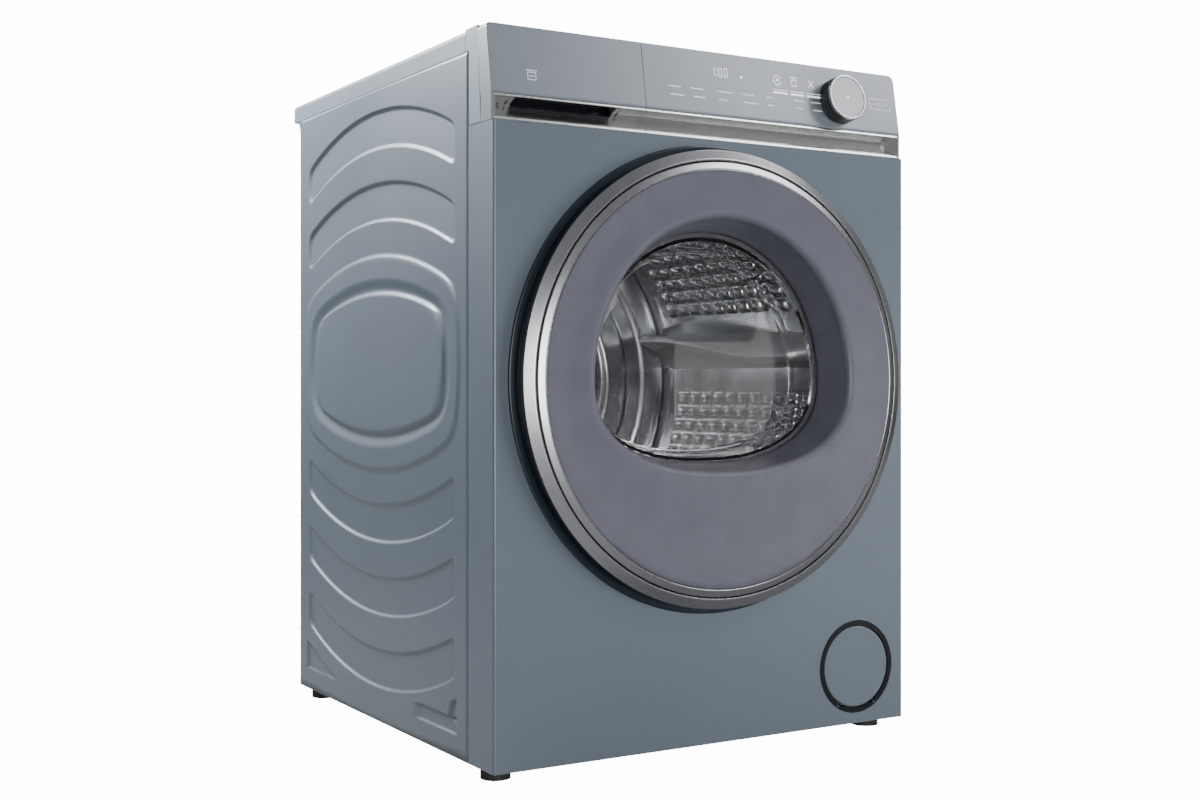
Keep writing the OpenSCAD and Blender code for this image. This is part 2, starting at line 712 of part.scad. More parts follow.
compressor_pipe = [20, -20, 4, 26];             // x, y, radius and height of the pipe stub
module compressor() color(black) at_cabinet() translate([compressor_at[0], compressor_at[1], tray_floor]) {
    cylinder(r = compressor_r, h = compressor_h);
    translate([0, 0, compressor_h])
        cylinder(r1 = compressor_r, r2 = compressor_dome[0], h = compressor_dome[1]);
    translate([0, 0, compressor_h + compressor_dome[1]])
        cylinder(r = compressor_cap[0], h = compressor_cap[1]);
    // Stub of the pipe to the heat exchangers
    translate([compressor_pipe[0], compressor_pipe[1], compressor_h])
        cylinder(r = compressor_pipe[2], h = compressor_pipe[3]);
}
module fins(y0, y1) {
    pitch = 12;
    for (x = [hx_x0 : pitch : hx_x1 - 2]) block([x, y0, 12], [x + 2, y1, tunnel_top - 8]);
    for (z = [30 : 24 : tunnel_top - 20], y = [y0 + 14 : 28 : y1 - 10])
        translate([hx_x0 - 3, y, z]) rotate([0, 90, 0]) cylinder(r = 4, h = hx_x1 - hx_x0 + 4);
}
module evaporator() color([0.72, 0.74, 0.76]) at_cabinet() fins(tunnel_y0 + 20, tunnel_y0 + 104);
module condenser() color([0.7, 0.45, 0.3]) at_cabinet() fins(tunnel_y0 + 114, tunnel_y0 + 214);
pump_x = -half_w + 44;
pump_y = rear_bulk_y - 40;
pump_half = [28, 25];                           // half sizes of its box
pump_top = 46;
pump_motor = [16, 18];                          // radius, height
module condensate_pump() color(black) at_cabinet() {
    block([pump_x - pump_half[0], pump_y - pump_half[1], tray_floor],
        [pump_x + pump_half[0], pump_y + pump_half[1], pump_top]);
    translate([pump_x, pump_y, pump_top]) cylinder(r = pump_motor[0], h = pump_motor[1]);
}
hose_r = 5;
hose_low = 96;                                  // height of its run to the back
hose_clear = 26;                                // from the rear bulkhead to its rise
hose_end_in = 30;                               // how far its end lies over the tank
module condensate_hose() color([0.8, 0.8, 0.78]) at_cabinet() {
    back = rear_bulk_y + hose_clear;
    start = pump_top + pump_motor[1];
    high = tub_z1 + 4.5 + hose_r;
    translate([pump_x, pump_y, start]) cylinder(r = hose_r, h = hose_low - start);
    translate([pump_x, pump_y, hose_low]) sphere(r = hose_r);
    translate([pump_x, 0, hose_low]) y_cyl(hose_r, pump_y, back);
    translate([pump_x, back, hose_low]) sphere(r = hose_r);
    translate([pump_x, back, hose_low]) cylinder(r = hose_r, h = high - hose_low);
    translate([pump_x, back, high]) sphere(r = hose_r);
    translate([pump_x, 0, high]) y_cyl(hose_r, tub_y0 + tank_len - hose_end_in, back);
}

// ---- Bulkheads, throat and drum ----

module front_bulkhead() color(grey_plastic) at_cabinet() difference() {
    union() {
        block([-inner_x + 2, bulk_y, tray_rim + 2], [inner_x - 2, bulk_y + bulk_t, bulk_top]);
        translate([0, 0, door_z]) {
            y_cyl(throat_r + 3, 5, bulk_y + 1);
            y_cyl(collar_out, bulk_y, drum_y0 + felt_w + 2);
        }
        block([-filter_half - 5, bulk_y, filter_low - 6],
            [filter_half + 5, drum_y0 - 4, door_z - collar_out + 2 * collar_t]);
    }
    translate([0, 0, door_z]) {
        y_cyl(throat_r, 4, bulk_y + bulk_t + 1);
        y_cyl(collar_out - collar_t, bulk_y + bulk_t, drum_y0 + felt_w + 3);
    }
    block([-filter_half - 2, filter_y - 2, filter_low - 2],
        [filter_half + 2, filter_y + filter_t + 2, door_z - throat_r + 8]);
    translate([flap_x, 0, flap_z]) y_cyl(socket_r + part_gap, 0, 60);
}
module lint_filter() color(grey_plastic) at_cabinet() {
    z1 = door_z - throat_r - 2.5;
    difference() {
        block([-filter_half, filter_y, filter_low], [filter_half, filter_y + filter_t, z1]);
        block([-filter_half + 3, filter_y + 3, filter_low + 3],
            [filter_half - 3, filter_y + filter_t - 3, z1 + 1]);
        for (i = [0 : 3]) block([-filter_half + 8 + i * 39, filter_y - 1, filter_low + 10],
            [-filter_half + 43 + i * 39, filter_y + filter_t + 1, z1 - 14]);
    }
    for (y = [filter_y + 1, filter_y + filter_t - 1.6])
        block([-filter_half + 4, y, filter_low + 6], [filter_half - 4, y + 0.6, z1 - 10]);
}
module door_seal() color(black) at_door() y_ring([
    [throat_r, 4.9], [throat_r, -2], [throat_r + 2, skirt_back + 2.3],
    [throat_r + 5, skirt_back + 2.3], [throat_r + 5.5, 4.9]
]);
module drum_felt() color([0.75, 0.72, 0.66]) at_door()
    y_tube(lip_in - 0.4, collar_out + press_gap, drum_y0, drum_y0 + felt_w);
module rear_bulkhead() color(steel) at_cabinet() difference() {
    union() {
        block([-half_w + 7, rear_bulk_y, tray_rim + 2], [half_w - 7, rear_bulk_y + 2, bulk_top]);
        translate([0, 0, door_z]) y_cyl(bearing_r + 8, rear_bulk_y, rear_bulk_y + 20);
    }
    translate([0, 0, door_z]) {
        y_cyl(bearing_r + press_gap, rear_bulk_y - 1, rear_bulk_y + 21);
        for (a = [0 : 30 : 330]) rotate([0, a, 0]) translate([150, 0, 0])
            y_cyl(28, rear_bulk_y - 1, rear_bulk_y + 3);
    }
    translate([motor_at[0], 0, motor_at[1]]) y_cyl(fan_r - 8, rear_bulk_y - 1, rear_bulk_y + 3);
    translate([pump_x, 0, 96]) y_cyl(hose_r + 3, rear_bulk_y - 1, rear_bulk_y + 3);
}
module rear_bearing() color(steel) at_door()
    y_tube(bearing_r, shaft_r + run_fit, rear_bulk_y + 1, rear_bulk_y + 19);

module drum_shell() color(steel) at_door() {
    y_tube(drum_out, drum_r, drum_y0, drum_y1);
    y_tube(drum_out, lip_in, drum_y0, drum_y0 + drum_sheet);
    y_tube(lip_in + drum_sheet, lip_in, drum_y0, drum_y0 + felt_w + 2);
}
module drum_back() color(steel) at_door() {
    r = drum_r - press_gap;
    difference() {
        y_ring([
            [0, drum_y1 - 3], [60, drum_y1 - 3], [70, drum_y1 - 13], [128, drum_y1 - 13],
            [136, drum_y1 - 5], [164, drum_y1 - 5], [172, drum_y1 - 13], [204, drum_y1 - 13],
            [212, drum_y1 - 5], [236, drum_y1 - 5], [242, drum_y1 - 9], [r, drum_y1 - 9],
            [r, drum_y1 - 7.5], [243, drum_y1 - 7.5], [237, drum_y1 - 3.5], [211, drum_y1 - 3.5],
            [203, drum_y1 - 11.5], [173, drum_y1 - 11.5], [165, drum_y1 - 3.5],
            [135, drum_y1 - 3.5], [127, drum_y1 - 11.5], [71, drum_y1 - 11.5], [61, drum_y1],
            [0, drum_y1]
        ]);
        for (k = [0, 1], a = [0 : 15 : 345]) rotate([0, a + 7.5 * k, 0])
            translate([86 + 24 * k, 0, 0]) y_cyl(6, drum_y1 - 15, drum_y1 + 1);
    }
    y_cyl(shaft_r, drum_y1 - 2, rear_bulk_y + 26);
    y_cyl(shaft_r + 10, drum_y1 - 2, rear_bulk_y - 1);
}
// Wedge of one lifter, drawn in by in on every side
module lifter_wedge(in) y_prism(lifter_y0 + in, lifter_y1 - in) polygon([
    [drum_r + 5, in - lifter_half], [drum_r + 5, lifter_half - in],
    [drum_r - 10, lifter_half - 10 - in], [drum_r - lifter_h + in, lifter_crest - in / 2],
    [drum_r - lifter_h + in, in / 2 - lifter_crest], [drum_r - 10, in + 10 - lifter_half]
]);
module drum_lifters() color(steel) at_door() for (i = [0 : 2])
    rotate([0, -lifter_angle - 120 * i, 0]) difference() {
        intersection() {
            y_cyl(drum_r - press_gap, lifter_y0, lifter_y1);
            lifter_wedge(0);
        }
        lifter_wedge(lifter_wall);
    }

// ---- Belt ----

// The belt's circles in the order it runs: [centre, centreline radius, side],
// where side is 1 for a circle inside the loop and -1 for one outside it
belt_c = belt_gap + belt_t / 2;
belt_path = [
    [[0, door_z], drum_out + belt_c, 1],
    [motor_at, pulley_r + belt_c, 1],
    [idler_at, idler_r + belt_c, -1]
];
function turn_of(v) = atan2(v[1], v[0]);
// Direction of the straight run from circle i to the next
function run_dir(i) =
    let (a = belt_path[i % 3], b = belt_path[(i + 1) % 3], d = b[0] - a[0])
    turn_of(d) - asin((b[2] * b[1] - a[2] * a[1]) / norm(d));
// The belt's line, moved outwards by off: each circle's arc in steps of about 3 degrees
function arc_points(i, off) =
    let (c = belt_path[i], start = run_dir(i + 2) - 90 * c[2],
        turn = run_dir(i) - run_dir(i + 2),
        sweep = c[2] > 0 ? (turn + 720) % 360 : -((720 - turn) % 360),
        steps = ceil(abs(sweep) / 3))
    [for (k = [0 : steps]) let (a = start + sweep * k / steps)
        c[0] + (c[1] + c[2] * off) * [cos(a), sin(a)]];
function belt_line(off) = [for (i = [0 : 2]) each arc_points(i, off)];
module drive_belt() color(black) at_cabinet() y_prism(belt_y, belt_y + belt_w) difference() {
    polygon(belt_line(belt_t / 2));
    polygon(belt_line(-belt_t / 2));
}
arm_y = belt_y + belt_w + 4;
module idler_arm() color(steel) at_cabinet() difference() {
    d = idler_at - idler_pivot;
    union() {
        translate([idler_pivot[0], 0, idler_pivot[1]]) y_cyl(9, arm_y, arm_y + arm_t);
        translate([idler_at[0], 0, idler_at[1]]) y_cyl(8, arm_y, arm_y + arm_t);
        translate([idler_at[0], 0, idler_at[1]]) y_cyl(3, belt_y - 2, arm_y + 1);
        y_prism(arm_y, arm_y + arm_t) translate(idler_pivot) rotate(turn_of(d))
            translate([0, -6]) square([norm(d), 12]);
    }
    translate([idler_pivot[0], 0, idler_pivot[1]]) y_cyl(4 + run_fit, arm_y - 1, arm_y + arm_t + 1);
}
module idler_wheel() color(black) at_cabinet() translate([idler_at[0], 0, idler_at[1]])
    y_tube(idler_r, 3 + run_fit, belt_y - 1, belt_y + belt_w + 1);

// ---- Door ----

// Outline of the window: half an ellipse above and a flattened curve below
function window_points(r, drop) = concat(
    [for (a = [0 : 7.5 : 180]) [r * cos(a), r * window_rise * sin(a)]],
    [for (a = [187.5 : 7.5 : 352.5]) [
        r * sign(cos(a)) * pow(abs(cos(a)), 2 / window_power),
        -drop * pow(abs(sin(a)), 2 / window_power)]]
);
module window(grow) polygon(window_points(window_r + grow, window_drop + grow));
// A solid with the window's outline that narrows towards the back
module window_taper(y0, y1, grow, k0, k1) translate([0, y0, 0]) rotate([90, 0, 0]) mirror([0, 0, 1])
    linear_extrude(y1 - y0, scale = k1 / k0) scale(k0) window(grow);

module door_surround() color(navy) at_door()
    y_ring([[surround_in, 0], [surround_in, -2], [surround_r - 1.5, -2], [surround_r, 0]]);
module door_skirt() color(black) at_door() difference() {
    y_ring([
        [door_r, skirt_back], [door_r, ring_y], [door_r - 14, ring_y], [door_r - 14, ring_y + 2.5],
        [door_r - 2.5, ring_y + 2.5], [door_r - 2.5, skirt_back]
    ]);
    block([plug_r, ring_y - 0.01, -notch_half], [door_r + 1, 0, notch_half]);
}
module door_ring() color(silver) at_door() y_ring([
    [door_r, ring_y], [door_r - 11.5, ring_y - 7], [door_r - 13, ring_y - 7], [door_r - 13, ring_y]
]);
module door_bevel() color(silver) at_door() y_ring([
    [door_r - 14.5, 3.5 - door_proj], [door_r - 23.4, -door_proj], [door_r - 24.5, -door_proj],
    [door_r - 24.5, 5 - door_proj], [door_r - 14.5, ring_y]
]);
module door_cover() color(smoke) at_door() {
    r = door_r - 24.6;
    lip = window_r * window_rise + 5;
    front = -door_proj;
    difference() {
        y_ring([
            [window_drop - 20, front + 0.3], [lip, front], [(lip + r) / 2, front + 2.5], [r, front],
            [r, front + cover_t + 2], [(lip + r) / 2, front + 2.5 + cover_t],
            [lip, front + cover_t], [window_drop - 20, front + cover_t]
        ]);
        y_prism(front - 1, front + 2 * cover_t) window(0);
    }
    difference() {
        union() {
            y_prism(front + 0.3, front + cover_t) difference() {
                intersection() {
                    window(12);
                    circle(r = lip + 2);
                }
                window(-0.5);
            }
            window_taper(front + cover_t - 0.5, well_y, cover_t - 0.5, 1, well_scale);
        }
        window_taper(front + cover_t - 1, well_y + 0.01, -0.5, 1, well_scale);
    }
}
module door_glass() color([0.75, 0.8, 0.82, 0.4]) at_door() {
    k = bowl_r / window_r;
    difference() {
        union() {
            y_prism(well_y + 0.02, bowl_y) scale(k) window(12);
            window_taper(bowl_y - 0.5, bowl_depth, 0, k, k * bowl_taper);
        }
        window_taper(well_y - 1, bowl_depth - glass_t, -glass_t / k, k, k * bowl_taper);
    }
}
module door_inner_frame() color(grey_plastic) at_door() {
    difference() {
        union() {
            y_cyl(plug_r, skirt_back - 0.5, plug_y);
            y_tube(door_r - 10, plug_r - 1, skirt_back - 0.5, skirt_back - 0.5 + frame_plate);
        }
        y_cyl(plug_r - 4, skirt_back - 1, bowl_y);
        y_prism(bowl_y - 1, plug_y + 1) scale(bowl_r / window_r) window(part_gap);
        block([plug_r + 1, -60, -notch_half], [door_r, 60, notch_half]);
    }
    // Boss that the hinge leaf is screwed to
    block([plug_r - 14, skirt_back - 3.5, -leaf_half], [plug_r - 3, skirt_back + 4, leaf_half]);
    // Hook that the catch holds
    block([catch_x - 3, skirt_back - 0.5 + frame_plate - 1, -6], [catch_x + 3, 13, 6]);
    block([catch_x - 5, 9, -6], [catch_x + 3, 13, 6]);
}
catch_in = 13;                                  // from the hook's line to its inner side
catch_out = 11;
catch_half_h = 16;
catch_depth = 22;
catch_wall = 3;
module door_catch() color(black) at_door() difference() {
    block([catch_x - catch_in, sheet, -catch_half_h], [catch_x + catch_out, catch_depth, catch_half_h]);
    block([catch_x - catch_in + catch_wall, sheet - 1, 4 - catch_half_h],
        [catch_x + catch_out - catch_wall, catch_depth - catch_wall, catch_half_h - 4]);
}
bracket_half_h = 30;
bracket_t = 2.2;
ear_root = opening_r + 12;                      // inner end of an ear's root
module hinge_bracket() color(steel) at_door() difference() {
    union() {
        block([opening_r + 3, -bracket_t, -bracket_half_h], [surround_in - 5, 0, bracket_half_h]);
        both_ends() block([ear_root, hinge_y + 3, ear_z], [surround_in - 6, -1, ear_z + ear_t]);
        both_ends() translate([0, 0, ear_z]) linear_extrude(ear_t) polygon([
            [ear_root, hinge_y + 9], [surround_in - 6, hinge_y + 8],
            [hinge_x + 3.4, hinge_y + 2.4], [hinge_x - 2.4, hinge_y - 3.4]
        ]);
        both_ends() translate([hinge_x, hinge_y, ear_z]) cylinder(r = hinge_pin_r + 1, h = ear_t);
    }
    translate([hinge_x, hinge_y, -40]) cylinder(r = hinge_pin_r + press_gap, h = 80);
}
module both_ends() {
    children();
    mirror([0, 0, 1]) children();
}
module hinge_pin() color(silver) at_door() translate([hinge_x, hinge_y, -ear_z - ear_t - 1])
    cylinder(r = hinge_pin_r, h = 2 * (ear_z + ear_t + 1));
module door_hinge_leaf() color(steel) at_door() difference() {
    union() {
        translate([hinge_x, hinge_y, -leaf_half]) cylinder(r = knuckle_r, h = 2 * leaf_half);
        block([plug_r - 14, skirt_back - 7, -leaf_half], [hinge_x, skirt_back - 3.6, leaf_half]);
    }
    translate([hinge_x, hinge_y, -40]) cylinder(r = hinge_pin_r + run_fit, h = 80);
}

// ---- Service flap, filter and rear fittings ----

module at_flap() at_cabinet() translate([flap_x, 0, flap_z]) children();
module service_ring() color(black) at_flap() {
    difference() {
        union() {
            y_tube(flap_hole + flap_ring - 0.9, flap_hole, -0.5, 0);
            y_tube(socket_r, flap_hole, 0, socket_end);
        }
        // Relief that lets the flap turn through the ring
        block([-flap_relief, -1, -flap_drop - 3.5], [flap_relief, flap_t + 0.6, -flap_drop + 5]);
    }
    // Hinge pin of the flap, fixed in the ring
    translate([0, flap_t / 2, -flap_drop]) rotate([0, 90, 0])
        cylinder(r = flap_pin_r, h = 2 * (chord(socket_r, flap_drop) - 0.6), center = true);
}
module service_flap() color(slate) at_flap() difference() {
    y_cyl(flap_r, 0, flap_t);
    translate([0, flap_t / 2, -flap_drop]) rotate([0, 90, 0])
        cylinder(r = flap_pin_r + run_fit, h = 2 * flap_r, center = true);
}
module filter_plug() color(white_plastic) at_flap() {
    y_cyl(flap_hole - run_fit, plug_face, plug_face + plug_flange);
    y_tube(sleeve_r, sleeve_r - sleeve_wall, plug_face + plug_flange, sleeve_end);
    block([-grip_half, plug_face - grip_t, -grip_t], [grip_half, plug_face, grip_t]);
}
module mains_inlet() color(black) at_cabinet() {
    low = inlet_at[1] - inlet_half[1];
    block([inlet_at[0] - inlet_half[0], side_y1, low],
        [inlet_at[0] + inlet_half[0], side_y1 + inlet_t, inlet_at[1] + inlet_half[1]]);
    // Gland that the mains lead comes out of
    translate([inlet_at[0], side_y1 + inlet_t / 2, low - 14]) cylinder(r = 5, h = 15);
}
module drain_spigot() color(grey_plastic) at_cabinet() translate([spigot_at[0], 0, spigot_at[1]])
    y_tube(spigot_r, spigot_r - spigot_wall, side_y1, side_y1 + spigot_len);

left_side_panel();
right_side_panel();
front_panel();
rear_panel();
rear_duct_cover();
worktop();
fascia();
fascia_frame();
fascia_trim();
control_board();
base_tray();
front_bulkhead();
rear_bulkhead();
door_surround();
door_seal();
door_catch();
hinge_bracket();
hinge_pin();
drum_felt();
rear_bearing();
motor_housing();
drive_belt();
air_tunnel();
compressor();
evaporator();
condenser();
condensate_pump();
condensate_hose();
lint_filter();
tank_housing();
mains_inlet();
drain_spigot();
service_ring();
rear_screws();
door_ring();
door_skirt();
door_bevel();
door_cover();
door_glass();
door_inner_frame();
door_hinge_leaf();
drum_shell();
drum_back();
drum_lifters();
motor_shaft();
fan_impeller();
idler_arm();
idler_wheel();
dial_shaft();
dial_knob();
tank_front();
tank_trim();
water_tank();
tank_lid();
service_flap();
filter_plug();
foot_front_left();
foot_front_right();
foot_rear_left();
foot_rear_right();
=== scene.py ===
"""The looks of a front-loading clothes dryer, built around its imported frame.

Shapes are worked out in millimetres in the casing's own frame: x runs to the right from
the middle, y backwards from the front panel's face, and z upwards from the bottom edge of
the casing. new_piece() turns them into metres in the frame that all pieces share.
"""
import math

import bmesh
import bpy
import numpy as np
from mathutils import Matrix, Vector
from mathutils.geometry import tessellate_polygon


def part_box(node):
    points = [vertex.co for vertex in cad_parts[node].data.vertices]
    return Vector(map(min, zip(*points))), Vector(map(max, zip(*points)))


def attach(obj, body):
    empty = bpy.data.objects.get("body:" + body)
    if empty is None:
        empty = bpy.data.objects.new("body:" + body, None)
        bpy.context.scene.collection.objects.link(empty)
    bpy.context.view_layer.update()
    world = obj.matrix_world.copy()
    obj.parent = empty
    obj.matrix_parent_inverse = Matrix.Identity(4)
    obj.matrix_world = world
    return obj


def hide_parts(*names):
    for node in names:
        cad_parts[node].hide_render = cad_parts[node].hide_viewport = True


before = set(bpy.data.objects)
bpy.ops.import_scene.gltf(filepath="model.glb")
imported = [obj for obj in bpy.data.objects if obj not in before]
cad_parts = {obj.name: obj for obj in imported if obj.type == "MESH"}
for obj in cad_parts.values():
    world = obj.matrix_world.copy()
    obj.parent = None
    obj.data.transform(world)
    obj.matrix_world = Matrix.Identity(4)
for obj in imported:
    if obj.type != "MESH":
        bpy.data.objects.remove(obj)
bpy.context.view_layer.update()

MM = 0.001
ORIGIN = Vector((0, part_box("front_panel")[0].y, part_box("front_panel")[0].z))


def box_of(node):
    """Lowest and highest corner of a CAD node, in millimetres in the casing's frame."""
    low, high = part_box(node)
    return (low - ORIGIN) / MM, (high - ORIGIN) / MM


# ---- Sizes, from the frame ----

PANEL_HI = box_of("front_panel")[1]
HALF_W = PANEL_HI.x  # half width of the casing
PANEL_TOP = PANEL_HI.z
WRAP = PANEL_HI.y  # depth of the front panel's wrapped sides
SIDE_LO, SIDE_HI = box_of("right_side_panel")
TOP = box_of("worktop")[1].z
RING_LO, RING_HI = box_of("door_ring")
DOOR_R = RING_HI.x  # outer radius of the door
DOOR_Z = (RING_LO.z + RING_HI.z) / 2  # height of the door's centre
DOOR_FRONT = box_of("door_cover")[0].y  # frontmost plane of the door
GLASS_LO, GLASS_HI = box_of("door_glass")
SHELL_LO, SHELL_HI = box_of("drum_shell")
DRUM_R = SHELL_HI.x - 1  # inner radius of the drum
BACK_LO = box_of("drum_back")[0]
FASCIA_LO, FASCIA_HI = box_of("fascia")
TRIM_LO, TRIM_HI = box_of("fascia_trim")
TANK_TRIM_LO, TANK_TRIM_HI = box_of("tank_trim")
TANK_LO, TANK_HI = box_of("tank_front")
FLAP_LO, FLAP_HI = box_of("service_flap")

SHEET = 1.2  # thickness of the sheet steel
THROAT_R = 222  # loading throat
OPENING_R = THROAT_R + 6  # hole in the front panel behind the door
WINDOW_R = 182  # half width of the window
WINDOW_RISE = 1.045  # its top's height beside its half width
WINDOW_DROP = 108  # from its centre down to its flat side
WINDOW_POWER = 2.35  # roundness of its lower corners
WELL_SCALE = 0.935  # the window's size at the back of the well
WELL_Y = 18
GLASS_SCALE = (WINDOW_R * WELL_SCALE - 4) / WINDOW_R
GLASS_T = 4
BOWL_TAPER = 0.93  # the bowl's width at its back
BOWL_CORNER = 11.0
FLAP_R = (FLAP_HI.x - FLAP_LO.x) / 2
FLAP_X = (FLAP_LO.x + FLAP_HI.x) / 2
FLAP_Z = (FLAP_LO.z + FLAP_HI.z) / 2
FLAP_RING = 4.2  # from the flap's edge to the panel's hole
BEND_Z = FASCIA_LO.z + 32.7  # where the fascia starts to lean back
FACE_Y = FASCIA_LO.y  # face of its upright strip
LEAN = (19 - FACE_Y) / (TOP - BEND_Z)  # how far it leans back per millimetre of height


# ---- Mesh helpers ----

FACE_WEIGHT = 80  # how far large faces pull the shading flat


def smooth_step(t):
    t = np.clip(t, 0.0, 1.0)
    return t * t * (3 - 2 * t)


def rounded(points, radius, steps=4):
    """A closed outline with each corner rounded; radius is one value or one for each corner."""
    pts = [np.array(p, float) for p in points]
    radii = [radius] * len(pts) if np.isscalar(radius) else list(radius)
    out = []
    for i, p in enumerate(pts):
        before, after = pts[i - 1] - p, pts[(i + 1) % len(pts)] - p
        la, lb = np.linalg.norm(before), np.linalg.norm(after)
        cut = min(radii[i], 0.45 * la, 0.45 * lb)
        if cut < 1e-6:
            out.append(p)
            continue
        a, b = p + before / la * cut, p + after / lb * cut
        for t in np.linspace(0, 1, steps + 1):
            out.append((1 - t) ** 2 * a + 2 * t * (1 - t) * p + t * t * b)
    return out


def loft(rings, wrap=True, loop=False, cap_start=False, cap_end=False):
    """Vertices and faces of a skin through rings of points, each with the same count."""
    n, m = len(rings[0]), len(rings)
    verts = [tuple(p) for ring in rings for p in ring]
    faces = []
    for j in range(m if loop else m - 1):
        k = (j + 1) % m
        for i in range(n if wrap else n - 1):
            ii = (i + 1) % n
            faces.append((j * n + i, j * n + ii, k * n + ii, k * n + i))
    if cap_start:
        faces.append(tuple(reversed(range(n))))
    if cap_end:
        faces.append(tuple(range((m - 1) * n, m * n)))
    return verts, faces


def revolve(profile, steps, closed=True):
    """Turns (radius, y) points round the Y axis at the door's height."""
    rings = []
    for k in range(steps):
        a = 2 * math.pi * k / steps
        rings.append([(r * math.cos(a), y, DOOR_Z + r * math.sin(a)) for r, y in profile])
    return loft(rings, wrap=closed, loop=True)


def prism(outline, lo, hi, axis="x"):
    """Extrudes an outline along an axis: (y, z) points along x, (x, z) along y or (x, y) along z."""
    def at(p, t):
        return {"x": (t, p[0], p[1]), "y": (p[0], t, p[1]), "z": (p[0], p[1], t)}[axis]
    return loft([[at(p, lo) for p in outline], [at(p, hi) for p in outline]], cap_start=True, cap_end=True)


def plate(outer, holes, y0, y1):
    """A flat plate with holes, from (x, z) outlines, between two planes y0 and y1."""
    loops = [list(outer)] + [list(h) for h in holes]
    flat = [p for loop in loops for p in loop]
    tris = tessellate_polygon([[Vector((p[0], p[1], 0)) for p in loop] for loop in loops])
    n = len(flat)
    verts = [(p[0], y0, p[1]) for p in flat] + [(p[0], y1, p[1]) for p in flat]
    faces = [tuple(t) for t in tris] + [tuple(reversed([i + n for i in t])) for t in tris]
    start = 0
    for loop in loops:
        m = len(loop)
        for i in range(m):
            a, b = start + i, start + (i + 1) % m
            faces.append((a, b, b + n, a + n))
        start += m
    return verts, faces


def circle(cx, cz, r, steps=64):
    return [(cx + r * math.cos(2 * math.pi * k / steps), cz + r * math.sin(2 * math.pi * k / steps))
            for k in range(steps)]


def joined(*parts):
    """One mesh from several (vertices, faces) pairs."""
    verts, faces = [], []
    for v, f in parts:
        o = len(verts)
        verts += list(v)
        faces += [tuple(i + o for i in face) for face in f]
    return verts, faces


def new_piece(name, part, material, body="root", stands_for=(), sharp=35, weighted=True,
              solid=0.0):
    """Makes a Blender object from (vertices, faces) and hangs it on its body.

    Edges steeper than sharp degrees stay crisp, and solid is the thickness of a sheet.
    """
    verts, faces = part
    mesh = bpy.data.meshes.new(name)
    mesh.from_pydata([(p[0] * MM + ORIGIN.x, p[1] * MM + ORIGIN.y, p[2] * MM + ORIGIN.z) for p in verts],
                     [], faces)
    mesh.validate()
    bm = bmesh.new()
    bm.from_mesh(mesh)
    bmesh.ops.remove_doubles(bm, verts=bm.verts, dist=2e-6)
    bmesh.ops.recalc_face_normals(bm, faces=bm.faces)
    bm.to_mesh(mesh)
    bm.free()
    mesh.materials.append(material)
    obj = bpy.data.objects.new(name, mesh)
    bpy.context.scene.collection.objects.link(obj)
    finish_surface(obj, sharp, weighted, solid)
    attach(obj, body)
    if stands_for:
        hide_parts(*stands_for)
    return obj


def finish_surface(obj, sharp, weighted, solid):
    """Smooth shading with crisp edges, and a thickness where asked."""
    obj.data.shade_smooth()
    obj.data.set_sharp_from_angle(angle=math.radians(sharp))
    if solid:
        thick = obj.modifiers.new("Thickness", "SOLIDIFY")
        thick.thickness = solid * MM
        thick.offset = -1
        thick.use_even_offset = False
    if weighted:
        even = obj.modifiers.new("Even shading", "WEIGHTED_NORMAL")
        even.keep_sharp = True
        even.weight = FACE_WEIGHT


def dress(node, material, bevel=0.0):
    """Gives a carried-over CAD node its material and, where asked, soft edges."""
    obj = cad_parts[node]
    obj.data.materials.clear()
    obj.data.materials.append(material)
    if bevel:
        weld = obj.modifiers.new("Weld", "WELD")
        weld.merge_threshold = 2e-5
        finish = obj.modifiers.new("Soft edges", "BEVEL")
        finish.width = bevel * MM
        finish.segments = 2
        finish.limit_method = "ANGLE"
        finish.angle_limit = math.radians(38)
        even = obj.modifiers.new("Even shading", "WEIGHTED_NORMAL")
        even.weight = FACE_WEIGHT


# ---- Materials ----

